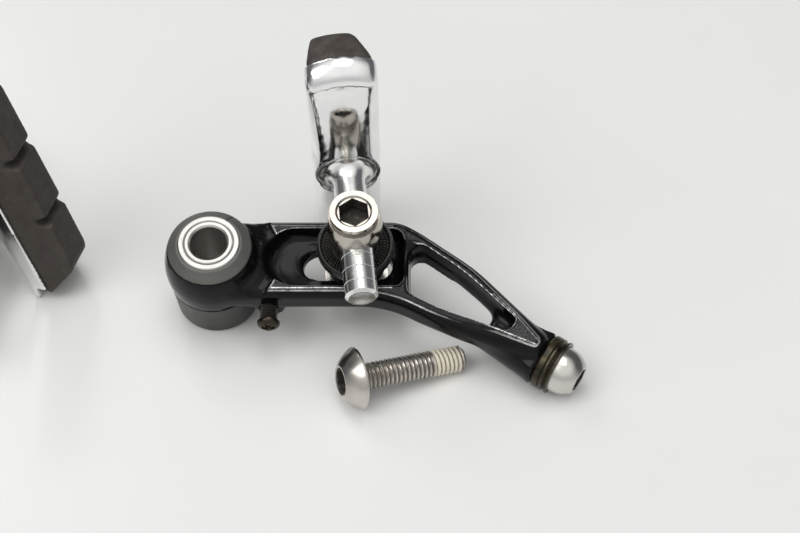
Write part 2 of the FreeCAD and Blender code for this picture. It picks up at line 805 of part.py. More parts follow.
def bowed_outline(outward, inward, down, up):
    """The corners, roundings and bows of a pad outline, anticlockwise from its lower outer corner."""
    def side(radius, height):
        return size.pad_bow - math.sqrt(float(radius) ** 2 - float(height) ** 2)

    outer = size.pad_bow + outward
    inner = size.pad_bow - inward
    corners = [
        (float(side(outer, down)), -down), (float(side(inner, down)), -down),
        (float(side(inner, up)), up), (float(side(outer, up)), up)]
    return corners, None, {1: -inner, 3: outer}


def make_holder():
    """The polished holder: a bowed channel, closed above and open below, with a round socket behind."""
    body = new_body("pad_holder")
    half = size.holder_width / 2.0
    outline = bowed_outline(half, half, size.holder_down, size.holder_up)
    pad = add_pad(body, "Shell", outline, size.holder_depth)
    top_edge = edges_where(
        pad.Shape, lambda box: box.YLength < NEAR and box.ZMax < NEAR and box.YMin > 0)
    round_edges(body, "TopEnd", top_edge, size.holder_top_round)

    def behind(box):
        front = box.ZMin > size.holder_depth - NEAR
        corner = box.ZLength > size.holder_depth - NEAR
        across_top = box.YLength < NEAR and box.ZLength < NEAR and box.YMin > 0
        return not (front or corner or across_top)

    round_edges(body, "BackEdges", edges_where(body.Shape, behind), size.holder_edge)

    inside = half - size.holder_wall
    channel = bowed_outline(inside, inside, size.holder_down + size.holder_wall,
                            size.holder_up - size.holder_wall)
    cut_pocket(body, "Channel", channel, size.holder_depth, size.holder_depth - size.holder_back)
    lip_top = -size.holder_down + size.lip_length
    wide = size.holder_width
    cut_pocket(body, "OpenEnd", ([
        (-wide, -size.holder_down - wide), (wide, -size.holder_down - wide), (wide, lip_top),
        (-wide, lip_top)],), size.holder_depth, size.holder_depth - size.holder_back)

    sketch = new_sketch(body, "Ramp", "YZ_Plane")
    draw_outline(sketch, [
        (-size.ramp_foot, 0.0), (-size.ramp_crest, -size.socket_boss), (size.ramp_crest, -size.socket_boss),
        (size.holder_up - size.holder_top_round, 0.0), (0.0, size.holder_back / 2.0)])
    ramp = body.newObject("PartDesign::Pad", "RampPad")
    ramp.Profile = sketch
    ramp.SideType = "Symmetric"
    bind(ramp, "Length", size.ramp_width)
    document.recompute()
    add_round(body, "AdditiveCylinder", "Boss", Placement(Vector(0, 0, -size.socket_boss), Rotation()),
              Radius=size.socket_boss_d / 2.0, Height=size.socket_boss + size.holder_back / 2.0)
    add_round(body, "SubtractiveCylinder", "Socket", Placement(Vector(0, 0, -size.socket_boss), Rotation()),
              Radius=size.flange_d / 2.0 + size.socket_gap, Height=socket_depth)
    add_round(body, "SubtractiveCylinder", "SpigotHole",
              Placement(Vector(0, 0, -size.socket_boss), Rotation()),
              Radius=size.spigot_d / 2.0 + size.running_gap,
              Height=size.socket_boss + size.holder_back / 2.0 + size.running_gap)
    add_round(body, "SubtractiveCylinder", "ScrewHole",
              Placement(Vector(0, -size.pad_screw_up, 0), Rotation()),
              Radius=size.pad_screw_d / 2.0, Height=size.holder_back)
    return body


def make_rubber():
    """The rubber insert: a tongue in the holder's channel and a grooved block that tapers to its face."""
    body = new_body("brake_pad")
    down = size.holder_down - size.rubber_end_gap
    inside = size.holder_width / 2.0 - size.holder_wall
    tongue = bowed_outline(inside, inside, down, size.holder_up - size.holder_wall)
    add_pad(body, "Tongue", tongue, size.holder_depth - size.holder_back, size.holder_back)
    up = size.holder_up - size.holder_wall / 2.0
    face = size.holder_depth + size.rubber_height
    block = body.newObject("PartDesign::AdditiveLoft", "Block")
    sections = []
    base = size.rubber_base_width / 2.0
    for name, height, outline in (
            ("Foot", size.holder_depth, (base, base, down, up)),
            ("Face", face, (size.rubber_face_out, size.rubber_face_in, down - size.rubber_low_slope,
                            up - size.rubber_top_slope))):
        sketch = new_sketch(body, name, "XY_Plane", height)
        draw_outline(sketch, *bowed_outline(*outline))
        sections.append(sketch)
    block.Profile = sections[0]
    block.Sections = sections[1:]
    block.Ruled = True
    document.recompute()
    level = edges_at(body.Shape, face)
    ends = [name for name in level if body.Shape.getElement(name).BoundBox.YLength < size.holder_width]
    round_edges(body, "FaceEnds", ends, size.rubber_round)

    sketch = new_sketch(body, "Groove", "YZ_Plane")
    first = -size.groove_first
    half = size.groove_width / 2.0
    half_floor = size.groove_floor / 2.0
    draw_outline(sketch, [
        (first - half_floor, face - size.groove_depth), (first + half_floor, face - size.groove_depth),
        (first + half, face), (first - half, face)])
    groove = body.newObject("PartDesign::Pocket", "GrooveCut")
    groove.Profile = sketch
    groove.SideType = "Symmetric"
    bind(groove, "Length", size.holder_width * 2.0)
    before = body.Shape.Volume
    document.recompute()
    if body.Shape.Volume >= before:
        raise ValueError("the groove cuts nothing")
    pattern = body.newObject("PartDesign::LinearPattern", "Grooves")
    pattern.Originals = [groove]
    pattern.Direction = (sketch, ["H_Axis"])
    bind(pattern, "Length", size.groove_pitch * (size.groove_count - 1))
    pattern.Occurrences = int(size.groove_count)
    body.Tip = pattern
    document.recompute()
    add_round(body, "SubtractiveCylinder", "ScrewHole",
              Placement(Vector(0, -size.pad_screw_up, 0), Rotation()),
              Radius=size.pad_screw_d / 2.0, Height=size.pad_screw_length)
    return body


def make_pad_screw():
    """The small screw that keeps the rubber in its channel."""
    radius = size.pad_screw_d / 2.0
    body = turned("pad_screw", [
        (0.0, 0.0), (radius, 0.0), (radius, size.pad_screw_length), (0.0, size.pad_screw_length)])
    socket = body.newObject("PartDesign::SubtractivePrism", "Socket")
    socket.Polygon = 6
    bind(socket, "Circumradius", size.pad_screw_socket / math.sqrt(3.0))
    bind(socket, "Height", size.pad_screw_socket_depth)
    document.recompute()
    return body


def make_anchor():
    """The cable anchor: two rings and a domed bolt, about the axis of the arm's end."""
    thread = size.anchor_hole_d / 2.0 - size.running_gap
    hole = size.anchor_hole_d / 2.0 + size.running_gap
    ring = size.ring_od / 2.0
    edge = size.small_edge
    inner = turned("anchor_inner_ring", [
        (hole, 0.0), (ring - edge, 0.0), (ring, edge), (ring, size.ring_inner - edge),
        (ring - edge, size.ring_inner), (hole, size.ring_inner)])
    start = size.ring_inner
    end = size.ring_inner + size.ring_outer
    middle = (start + end) / 2.0
    outer = turned("anchor_outer_ring", [
        (hole, start), (ring, start), (ring, middle - size.ring_groove),
        (ring - size.ring_groove, middle), (ring, middle + size.ring_groove), (ring, end), (hole, end)])
    dome = size.dome_d / 2.0
    top = end + size.dome_height
    bolt = turned("anchor_bolt", [
        (0.0, -size.anchor_thread), (thread, -size.anchor_thread), (thread, end), (dome, end),
        (dome, end + size.dome_rim), (size.dome_flat_d / 2.0, top), (0.0, top)],
        bows={4: size.dome_bow})
    cut_hexagon(bolt, size.anchor_socket, size.anchor_socket_depth, top)
    return [inner, outer, bolt]


def make_mounting_bolt():
    """The bolt that holds the brake to its boss, turned about its own axis with z = 0 under the head."""
    shank = size.bolt_d / 2.0
    head = size.bolt_head_d / 2.0
    body = turned("mounting_bolt", [
        (0.0, -size.bolt_length), (shank - size.bolt_point, -size.bolt_length),
        (shank, -size.bolt_length + size.bolt_point), (shank, 0.0), (head, 0.0), (head, size.bolt_head_rim),
        (size.bolt_head_flat / 2.0, size.bolt_head), (0.0, size.bolt_head)],
        bows={5: size.bolt_head_bow})
    cut_hexagon(body, size.bolt_socket, size.bolt_socket_depth, size.bolt_head)
    return body


def surface_points(shape, fineness=0.02):
    """Points spread over a shape's surface."""
    return shape.tessellate(fineness)[0]


def set_down(groups):
    """The placement that rests three groups of points, one point of each, on the level z = 0."""
    up = Vector(0, 0, 1)
    for _ in range(20):
        feet = [min(points, key=lambda point: point.dot(up)) for points in groups]
        up = (feet[1] - feet[0]).cross(feet[2] - feet[0]).normalize()
        up = up if up.z > 0 else -up
    ahead = (Vector(1, 0, 0) - up * up.x).normalize()
    turn = Rotation(ahead, up.cross(ahead), up, "ZXY").inverted()
    return Placement(Vector(0, 0, -feet[0].dot(up)), turn)


def lying_bolt():
    """The placement of a mounting bolt that lies on its head's rim and its tip."""
    head = size.bolt_head_d / 2.0
    tip = size.bolt_d / 2.0
    slope = math.atan2(head - tip, size.bolt_length - size.bolt_point)
    heading = math.radians(size.bolt_angle)
    to_tip = Vector(math.cos(slope) * math.cos(heading), math.cos(slope) * math.sin(heading),
                    -math.sin(slope))
    return Placement(Vector(size.bolt_x, -size.bolt_y, head * math.cos(slope)), facing(-to_tip))


def place_right_brake():
    """Builds the right brake's pieces and sets each in its place on the table."""
    arm = make_arm()
    pivot = make_pivot()
    spring = make_spring()
    screw = make_tension_screw()
    seat, knurled, eyebolt, washer, nut = make_clamp()
    post = make_post()
    pad = [make_holder(), make_rubber(), make_pad_screw()]
    anchor = make_anchor()
    bolt = make_mounting_bolt()

    on_clamp = Placement(clamp_centre, Rotation())
    on_eye = Placement(clamp_centre, Rotation(Vector(0, 0, 1), float(size.post_angle)))
    on_post = Placement(post_centre, facing(along_post))
    pad_turn = Rotation(Vector(0, 0, 1).cross(along_post), Vector(0, 0, 1), along_post, "ZYX")
    on_pad = Placement(post_centre + along_post * float(size.post_reach), pad_turn)
    on_screw = Placement(
        Vector(size.screw_x, -(size.screw_inner + size.screw_length + size.screw_head), screw_height),
        facing(Vector(0, 1, 0)))
    on_anchor = Placement(anchor_end, facing(along_anchor))
    places = {arm: Placement(), screw: on_screw, eyebolt: on_eye, post: on_post}
    places.update({piece: Placement() for piece in pivot})
    places[spring] = Placement(Vector(), Rotation(Vector(0, 0, 1), 90))
    places.update({piece: on_clamp for piece in (seat, knurled, washer, nut)})
    places.update({piece: on_pad for piece in pad})
    places[pad[-1]] = on_pad * Placement(Vector(0, -size.pad_screw_up, 0), Rotation())
    places.update({piece: on_anchor for piece in anchor})
    for piece, place in places.items():
        piece.Placement = place
    rest = set_down([surface_points(pivot[-1].Shape),
                     [point for piece in [arm] + anchor for point in surface_points(piece.Shape)],
                     surface_points(pad[0].Shape)])
    for piece, place in places.items():
        piece.Placement = rest * place
    bolt.Placement = lying_bolt()
    document.recompute()
    return list(places) + [bolt]


def mirror(pieces):
    """The left brake's pieces: mirror images, turned and moved to their own place on the table."""
    place = Placement(Vector(-size.left_x, -size.left_y, 0),
                      Rotation(Vector(0, 0, 1), -float(size.left_angle)))
    images = []
    for piece in pieces:
        image = document.addObject("Part::Mirroring", "Mirror")
        image.Label = f"left_{piece.Label}"
        image.Source = piece
        image.Normal = Vector(1, 0, 0)
        image.Placement = place
        images.append(image)
    document.recompute()
    return images


def centre(right, left):
    """Moves the whole pair so that the origin is the middle of its footprint."""
    points = [point for piece in right + left for point in surface_points(piece.Shape, 0.05)]
    middle = [(min(point[i] for point in points) + max(point[i] for point in points)) / 2.0
              for i in range(2)]
    move = Placement(Vector(-middle[0], -middle[1], 0), Rotation())
    for piece in right:
        piece.Placement = move * piece.Placement
    for image in left:
        image.Base = move.Base
        image.Placement = move * image.Placement * move.inverse()
    document.recompute()


def export(pieces):
    """Checks every piece and writes one file for each."""
    for item in document.Objects:
        if "Invalid" in item.State or "Error" in item.State:
            raise ValueError(f"{item.Label} did not build")
    os.makedirs("parts", exist_ok=True)
    for piece in pieces:
        shape = piece.Shape
        if shape.isNull() or not shape.isValid() or len(shape.Solids) != 1:
            raise ValueError(f"{piece.Label} is not one valid solid")
        shape.Solids[0].exportStep(f"parts/{piece.Label}.step")


right_brake = place_right_brake()
left_brake = mirror(right_brake)
centre(right_brake, left_brake)
for piece in right_brake:
    piece.Label = f"right_{piece.Label}"
export(right_brake + left_brake)
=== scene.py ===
"""Looks of the pair of cantilever brakes: finishes, threads, knurls, table, light and camera."""

import json
import logging
import math
from dataclasses import dataclass
from enum import Enum
from functools import reduce
from typing import Any, Callable, NamedTuple, Optional, Sequence

import bmesh
import bpy
import numpy as np
from mathutils import Matrix, Vector


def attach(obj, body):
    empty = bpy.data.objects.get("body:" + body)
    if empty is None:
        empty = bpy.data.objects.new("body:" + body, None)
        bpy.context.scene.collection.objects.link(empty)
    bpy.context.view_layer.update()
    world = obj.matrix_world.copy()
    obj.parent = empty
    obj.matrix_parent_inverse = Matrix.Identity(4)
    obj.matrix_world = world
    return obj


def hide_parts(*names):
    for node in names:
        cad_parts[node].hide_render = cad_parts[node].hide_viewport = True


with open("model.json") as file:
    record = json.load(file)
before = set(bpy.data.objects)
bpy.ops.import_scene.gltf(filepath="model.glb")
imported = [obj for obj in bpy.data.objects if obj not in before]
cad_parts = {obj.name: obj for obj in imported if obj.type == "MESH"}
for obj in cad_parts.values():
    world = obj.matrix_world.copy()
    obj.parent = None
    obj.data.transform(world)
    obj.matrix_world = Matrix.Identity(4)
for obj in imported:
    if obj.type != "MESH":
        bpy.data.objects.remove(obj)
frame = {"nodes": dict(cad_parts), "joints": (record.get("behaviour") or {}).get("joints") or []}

Array = np.ndarray
Mesh = tuple[Array, list[list[int]]]
Socket = bpy.types.NodeSocket
Sockets = tuple[Socket, ...]
Span = tuple[float, ...]
Triple = tuple[float, float, float]

LOG = logging.getLogger("brakes")
MM = 0.001
TURN = 2.0 * math.pi
UP: Triple = (0.0, 0.0, 1.0)
NO_AXIS = Matrix.Identity(4)
# Lengths below are in a brake's own millimetres, from the foot of its pivot.
TIP = 0.02  # radius of the ring that closes a turned profile at its axis
CLAMP_X = 31.6  # the clamp's place along the arm
ARM_END: Span = (72.2, -21.7)  # the middle of the arm's round end
ARM_ANGLE = math.radians(33.0)  # how far the arm's end turns away from x


class Side(Enum):
    """The two brakes of the pair."""

    RIGHT = "right"
    LEFT = "left"

    def name_of(self, piece: str) -> str:
        """Names a piece, body or joint of this side."""
        return f"{self.value}_{piece}"


def fade(value: Array, start: float, end: float) -> Array:
    """Gives 0 where a value is at the start or short of it, 1 at the end or past it, and shares between."""
    return np.clip((value - start) / (end - start), 0.0, 1.0)


def smooth(share: Array) -> Array:
    """Eases a share at both its ends."""
    return share ** 2 * (3.0 - 2.0 * share)


def moved(points: Array, place: Matrix) -> Array:
    """Gives points moved by a matrix."""
    table = np.array(place)
    return points @ table[:3, :3].T + table[:3, 3]


def mesh_points(mesh: bpy.types.Mesh, place: Matrix) -> Array:
    """Reads a mesh's points.

    Args:
        mesh: The mesh.
        place: The matrix that moves them.

    Returns:
        The moved points, one in a row.
    """
    points = np.empty(len(mesh.vertices) * 3)
    mesh.vertices.foreach_get("co", points)
    return moved(points.reshape(-1, 3), place)


def note(mesh: bpy.types.Mesh, name: str, values: Array) -> None:
    """Notes a number on each of a mesh's points, for its finish to read."""
    mesh.attributes.new(name, "FLOAT", "POINT").data.foreach_set("value", values.astype(np.float32))


def along(point: Vector, direction: Vector) -> Matrix:
    """Gives the frame of an axis, with z in its direction."""
    turn = direction.normalized().to_track_quat("Z", "Y").to_matrix().to_4x4()
    return Matrix.Translation(point) @ turn


# Shader nodes


class Nodes:
    """A node tree with short ways to add and join its nodes."""

    def __init__(self, tree: bpy.types.NodeTree) -> None:
        """Takes the tree to work in."""
        self.tree = tree

    def add(self, kind: str, values: Optional[dict[Any, Any]] = None, **settings: Any) -> bpy.types.Node:
        """Adds a node.

        Args:
            kind: The node's type, without the leading ShaderNode.
            values: What goes into its inputs, by name or number: a socket to join or a constant.
            settings: Properties of the node itself.

        Returns:
            The new node.
        """
        node = self.tree.nodes.new(kind if kind.startswith("Node") else "ShaderNode" + kind)
        for name, setting in settings.items():
            setattr(node, name, setting)
        for name, value in (values or {}).items():
            self.feed(value, node.inputs[name])
        return node

    def feed(self, value: Any, socket: Socket) -> None:
        """Joins a socket to an input, or sets the input to a constant.

        Args:
            value: The socket or the constant.
            socket: The input.
        """
        if isinstance(value, Socket):
            self.tree.links.new(value, socket)
        elif isinstance(value, tuple) and socket.type == "RGBA":
            socket.default_value = (*value, 1.0)
        else:
            socket.default_value = value

    def math(self, operation: str, first: Any, second: Any) -> Socket:
        """Adds one step of arithmetic and gives its result."""
        return self.add("Math", {0: first, 1: second}, operation=operation).outputs[0]

    def times(self, *factors: Any) -> Socket:
        """Multiplies numbers and gives their product."""
        return reduce(lambda first, second: self.math("MULTIPLY", first, second), factors)

    def rest(self, share: Any) -> Socket:
        """Gives what a share leaves of 1."""
        return self.math("SUBTRACT", 1.0, share)

    def spread(self, value: Any, low: Any, high: Any, to_low: Any = 0.0, to_high: Any = 1.0) -> Socket:
        """Maps a span of values to another, held at its ends, and gives the result."""
        ends = {0: value, 1: low, 2: high, 3: to_low, 4: to_high}
        return self.add("MapRange", ends, clamp=True).outputs[0]

    def mix(self, share: Any, first: Any, second: Any) -> Socket:
        """Mixes two colours by a share and gives the result."""
        return self.add("Mix", {0: share, 6: first, 7: second}, data_type="RGBA").outputs[2]

    def blend(self, share: Any, first: Any, second: Any) -> Socket:
        """Mixes two numbers by a share and gives the result."""
        return self.add("Mix", {0: share, 2: first, 3: second}, data_type="FLOAT").outputs[0]

    def noise(self, place: Any, scale: Any, detail: float, roughness: float = 0.55) -> Socket:
        """Adds a noise texture and gives its value."""
        values = {"Vector": place, "Scale": scale, "Detail": detail, "Roughness": roughness}
        return self.add("TexNoise", values).outputs["Fac"]

    def noted(self, name: str) -> Socket:
        """Gives a number that is noted on the mesh's points."""
        return self.add("Attribute", attribute_name=name).outputs["Fac"]

    def effect(self, effect: "Effect", place: Any, **values: Any) -> Sequence[Socket]:
        """Adds a shared effect at a place, with its own values, and gives what comes out of it."""
        return self.add("Group", {"Place": place, **values}, node_tree=effect.group()).outputs


class Effect(Enum):
    """The effects that several finishes share, each one shader node group."""

    CLOUDS = "Tone clouds"
    GRAIN = "Surface grain"
    LATHE = "Lathe marks"
    EDGES = "Worn edges"
    GRIME = "Grime in corners"
    DUST = "Settled dust"
    SCRATCHES = "Fine scratches"
    SOCKET = "Dirt in a socket"

    def group(self) -> bpy.types.NodeTree:
        """Gives the effect's node group, built at its first use."""
        return bpy.data.node_groups.get(self.value) or EffectTree(self).tree


class EffectTree(Nodes):
    """The node group of one effect: a place and numbers go in, and numbers come out."""

    tone_span: Span = (0.32, 0.68)
    haze_span: Span = (0.3, 0.72)
    haze_finer: float = 2.7
    grain_coarser: float = 0.27
    grain_share: float = 0.4
    sky_samples: int = 8
    edge_ragged: float = 0.5
    edge_blend: float = 0.25
    grime_and_shade_span: Span = (0.2, 0.7)
    film_span: Span = (0.45, 0.8, 0.0, 0.4)
    speck_span: Span = (0.16, 0.08)
    speck_share: float = 0.6
    lying_span: Span = (0.1, 0.9)
    scratch_turns: Triple = (0.3, 1.4, 2.5)
    scratch_axis: Triple = (0.3, 0.2, 0.93)
    scratch_draw: Triple = (1.0, 26.0, 26.0)
    scratch_span: Span = (0.66, 0.78)
    socket_span: Span = (0.25, 0.5, 0.8, 1.0)

    def __init__(self, effect: Effect) -> None:
        """Builds the group.

        Args:
            effect: The effect that the group holds.
        """
        super().__init__(bpy.data.node_groups.new(effect.value, "ShaderNodeTree"))
        fill, outputs, inputs = EFFECTS[effect]
        new_socket = self.tree.interface.new_socket
        new_socket("Place", in_out="INPUT", socket_type="NodeSocketVector")
        for name, value in inputs.items():
            new_socket(name, in_out="INPUT", socket_type="NodeSocketFloat").default_value = value
        for name in outputs:
            new_socket(name, in_out="OUTPUT", socket_type="NodeSocketFloat")
        self.given = self.add("NodeGroupInput").outputs
        self.place = self.given["Place"]
        result = self.add("NodeGroupOutput").inputs
        for name, value in zip(outputs, fill(self)):
            self.feed(value, result[name])

    def cylinder(self) -> Sockets:
        """Gives the place's distance from its z axis and its height along it."""
        x, y, z = self.add("SeparateXYZ", {0: self.place}).outputs
        return self.math("POWER", self.math("ADD", self.times(x, x), self.times(y, y)), 0.5), z

    def clouds(self) -> Sockets:
        """Draws soft clouds that shift a finish's tone and gloss from place to place.

        Returns:
            The tone and the haze.
        """
        tone = self.noise(self.place, self.given["Scale"], 4.0)
        haze = self.noise(self.place, self.times(self.given["Scale"], self.haze_finer), 6.0, 0.65)
        return self.spread(tone, *self.tone_span), self.spread(haze, *self.haze_span)

    def grain(self) -> Sockets:
        """Draws the fine grain of a blasted, moulded or plated surface.

        Returns:
            The height.
        """
        fine = self.noise(self.place, self.given["Scale"], 2.0, 0.6)
        coarse = self.noise(self.place, self.times(self.given["Scale"], self.grain_coarser), 3.0)
        return (self.blend(self.grain_share, fine, coarse),)

    def lathe(self) -> Sockets:
        """Draws the rings that a lathe leaves, from places given about the turned axis.

        Returns:
            The height.
        """
        across, height = self.cylinder()
        rings = self.add("CombineXYZ", {0: across, 1: height}).outputs[0]
        return (self.noise(rings, self.given["Rings"], 3.0, 0.7),)

    def edges(self) -> Sockets:
        """Finds outward edges, where a finish is rubbed through.

        Returns:
            The mask.
        """
        inside = self.add("AmbientOcclusion", {"Distance": self.given["Reach"]}, inside=True,
                          only_local=True, samples=self.sky_samples).outputs["AO"]
        patchy = self.math("SUBTRACT", self.noise(self.place, 420.0, 4.0), 0.5)
        worn = self.math("ADD", self.rest(inside), self.times(patchy, self.edge_ragged))
        start = self.rest(self.given["Amount"])
        return (self.spread(worn, start, self.math("ADD", start, self.edge_blend)),)

    def grime(self) -> Sockets:
        """Finds inner corners, where oil and dirt stay and where the mask also paints shade.

        Returns:
            The mask.
        """
        sky = self.add("AmbientOcclusion", {"Distance": self.given["Reach"]}, samples=self.sky_samples)
        patchy = self.math("ADD", self.noise(self.place, 600.0, 5.0, 0.65), 0.5)
        closed = self.times(self.rest(sky.outputs["AO"]), patchy)
        return (self.times(self.spread(closed, *self.grime_and_shade_span), self.given["Amount"]),)

    def dust(self) -> Sockets:
        """Draws the specks and film that settle on faces that look up.

        Returns:
            The mask.
        """
        up = self.add("SeparateXYZ", {0: self.add("NewGeometry").outputs["Normal"]}).outputs[2]
        film = self.spread(self.noise(self.place, 260.0, 5.0, 0.7), *self.film_span)
        cells = self.add("TexVoronoi", {"Vector": self.place, "Scale": 900.0}).outputs["Distance"]
        kept = self.math("GREATER_THAN", self.noise(self.place, 700.0, 1.0), self.speck_share)
        both = self.math("MAXIMUM", film, self.times(self.spread(cells, *self.speck_span), kept))
        return (self.times(self.spread(up, *self.lying_span), both, self.given["Amount"]),)

    def scratches(self) -> Sockets:
        """Draws hairline scratches that cross a polished face.

        Returns:
            The mask.
        """
        lines = []
        for angle in self.scratch_turns:
            turn = {"Vector": self.place, "Axis": self.scratch_axis, "Angle": angle}
            drawn = {0: self.add("VectorRotate", turn).outputs[0], 1: self.scratch_draw}
            fine = self.add("VectorMath", drawn, operation="MULTIPLY").outputs[0]
            lines.append(self.noise(fine, self.given["Scale"], 2.0))
        crossed = reduce(lambda first, second: self.math("MAXIMUM", first, second), lines)
        return (self.times(self.spread(crossed, *self.scratch_span), self.given["Amount"]),)

    def socket(self) -> Sockets:
        """Finds a bolt's socket, from places given about the bolt's axis, for its painted shade and dirt.

        Returns:
            The mask.
        """
        across, height = self.cylinder()
        inside = self.math("LESS_THAN", across, self.given["Radius"])
        above = self.math("GREATER_THAN", height, self.given["Low"])
        below = self.math("LESS_THAN", height, self.given["High"])
        patchy = self.spread(self.noise(self.place, 900.0, 4.0), *self.socket_span)
        return (self.times(inside, above, below, patchy),)


EFFECTS: dict[Effect, tuple[Callable[[EffectTree], Sockets], tuple[str, ...], dict[str, float]]] = {
    Effect.CLOUDS: (EffectTree.clouds, ("Tone", "Haze"), {"Scale": 120.0}),
    Effect.GRAIN: (EffectTree.grain, ("Height",), {"Scale": 3000.0}),
    Effect.LATHE: (EffectTree.lathe, ("Height",), {"Rings": 4000.0}),
    Effect.EDGES: (EffectTree.edges, ("Mask",), {"Reach": 0.0005, "Amount": 0.5}),
    Effect.GRIME: (EffectTree.grime, ("Mask",), {"Reach": 0.001, "Amount": 0.5}),
    Effect.DUST: (EffectTree.dust, ("Mask",), {"Amount": 0.3}),
    Effect.SCRATCHES: (EffectTree.scratches, ("Mask",), {"Scale": 90.0, "Amount": 0.5}),
    Effect.SOCKET: (EffectTree.socket, ("Mask",), {"Radius": 0.003, "Low": 0.0, "High": 0.003}),
}


# Finishes


class Look(NamedTuple):
    """The colour, roughness and metallic share of a surface, as sockets or constants."""

    colour: Any
    roughness: Any
    metallic: Any = None

    def under(self, nodes: Nodes, mask: Any, top: "Look") -> "Look":
        """Lays another look over this one.

        Args:
            nodes: The material's nodes.
            mask: Where the other look goes.
            top: The other look, whose metallic share may be left open.

        Returns:
            The two together.
        """
        metallic = self.metallic if top.metallic is None else nodes.blend(mask, self.metallic, top.metallic)
        return Look(nodes.mix(mask, self.colour, top.colour),
                    nodes.blend(mask, self.roughness, top.roughness), metallic)


DUST = Look((0.42, 0.4, 0.37), 0.85)
# Painted shade with a little brown dirt, laid into the deep hex sockets of the bolts.
SOCKET_SHADE_AND_DIRT = Look((0.03, 0.025, 0.02), 0.6, 0.15)
WORN_ROUGHNESS = 0.3
GRIME_AND_SHADE_ROUGHNESS = 0.7
SCRATCH_ROUGHNESS = 0.25
LEAST_ROUGHNESS = 0.02
GRAIN_HEIGHT = 0.00005
LATHE_HEIGHT = 0.00004


@dataclass(frozen=True)
class Finish:
    """A surface finish, with the tones, gloss and marks that a material gets.

    Colours are linear. Lengths are metres and scales are cycles per metre.
    """

    slot: str
    base: Triple
    tint: Triple
    metallic: float
    roughness: float
    haze: float
    cloud_scale: float = 120.0
    grain_scale: float = 3000.0
    grain: float = 0.15
    lathe: float = 0.0
    lathe_rings: float = 4000.0
    worn: Optional[Triple] = None
    wear: float = 0.0
    wear_reach: float = 0.0005
    grime_and_shade_colour: Triple = (0.02, 0.016, 0.012)
    grime: float = 0.0
    grime_and_shade_reach: float = 0.001
    dust: float = 0.0
    scratches: float = 0.0
    specular: float = 0.5
    edge: float = 0.00012
    socket: Optional[Triple] = None

    def material(self, name: str, axis: Matrix) -> bpy.types.Material:
        """Builds the material of one piece.

        Args:
            name: The piece's name.
            axis: The frame of the piece's turned axis, z along it.

        Returns:
            The new material.
        """
        material = bpy.data.materials.new(f"{self.slot}.{name}")
        material.use_nodes = True
        nodes = Nodes(material.node_tree)
        place = nodes.add("TexCoord").outputs["Object"]
        turned = {"Vector": place, "Location": axis.to_translation(), "Rotation": axis.to_euler()}
        about = nodes.add("Mapping", turned, vector_type="TEXTURE").outputs[0]
        look = self.look(nodes, place, about)
        shader = {"Base Color": look.colour, "Roughness": look.roughness, "Metallic": look.metallic,
                  "Specular IOR Level": self.specular, "Normal": self.relief(nodes, place, about)}
        for key, value in shader.items():
            nodes.feed(value, material.node_tree.nodes["Principled BSDF"].inputs[key])
        return material

    def look(self, nodes: Nodes, place: Any, about: Any) -> Look:
        """Lays the finish with its marks.

        Args:
            nodes: The material's nodes.
            place: The surface point.
            about: The same point in the frame of the turned axis.

        Returns:
            The look of the surface.
        """
        look = self.ground(nodes, place)
        if self.scratches > 0.0:
            mask = nodes.effect(Effect.SCRATCHES, place, Amount=self.scratches)[0]
            rougher = nodes.math("ADD", look.roughness, nodes.times(mask, SCRATCH_ROUGHNESS))
            look = look._replace(roughness=nodes.math("MINIMUM", rougher, 1.0))
        if self.worn is not None:
            look = look.under(nodes, self.worn_mask(nodes, place), Look(self.worn, WORN_ROUGHNESS, 1.0))
        # Darkens inner corners by occlusion: partly grime, partly painted shade.
        if self.grime > 0.0:
            mask = nodes.effect(Effect.GRIME, place, Amount=self.grime, Reach=self.grime_and_shade_reach)[0]
            look = look.under(nodes, mask, Look(self.grime_and_shade_colour, GRIME_AND_SHADE_ROUGHNESS, 0.0))
        if self.dust > 0.0:
            look = look.under(nodes, nodes.effect(Effect.DUST, place, Amount=self.dust)[0], DUST)
        # Paints shade and dirt into the bolt's hex socket.
        if self.socket is not None:
            sizes = dict(zip(("Radius", "Low", "High"), self.socket))
            look = look.under(nodes, nodes.effect(Effect.SOCKET, about, **sizes)[0], SOCKET_SHADE_AND_DIRT)
        return look

    def ground(self, nodes: Nodes, place: Any) -> Look:
        """Lays the clean finish.

        Args:
            nodes: The material's nodes.
            place: The surface point.

        Returns:
            The look of the surface.
        """
        tone, haze = nodes.effect(Effect.CLOUDS, place, Scale=self.cloud_scale)
        low, high = max(self.roughness - self.haze, LEAST_ROUGHNESS), self.roughness + self.haze
        return Look(nodes.mix(tone, self.base, self.tint), nodes.spread(haze, 0.0, 1.0, low, high),
                    self.metallic)

    def worn_mask(self, nodes: Nodes, place: Any) -> Socket:
        """Gives the mask of the edges that are rubbed through."""
        return nodes.effect(Effect.EDGES, place, Amount=self.wear, Reach=self.wear_reach)[0]

    def relief(self, nodes: Nodes, place: Any, about: Any) -> Socket:
        """Builds the fine relief.

        Args:
            nodes: The material's nodes.
            place: The surface point.
            about: The same point in the frame of the turned axis.

        Returns:
            The normal that the shader takes.
        """
        normal = nodes.add("Bevel", {"Radius": self.edge}, samples=4).outputs[0]
        bumps = [(self.grain, GRAIN_HEIGHT, nodes.effect(Effect.GRAIN, place, Scale=self.grain_scale)[0])]
        if self.lathe > 0.0:
            rings = nodes.effect(Effect.LATHE, about, Rings=self.lathe_rings)[0]
            bumps.append((self.lathe, LATHE_HEIGHT, rings))
        for strength, distance, height in bumps:
            values = {"Strength": strength, "Distance": distance, "Height": height, "Normal": normal}
            normal = nodes.add("Bump", values).outputs[0]
        return normal


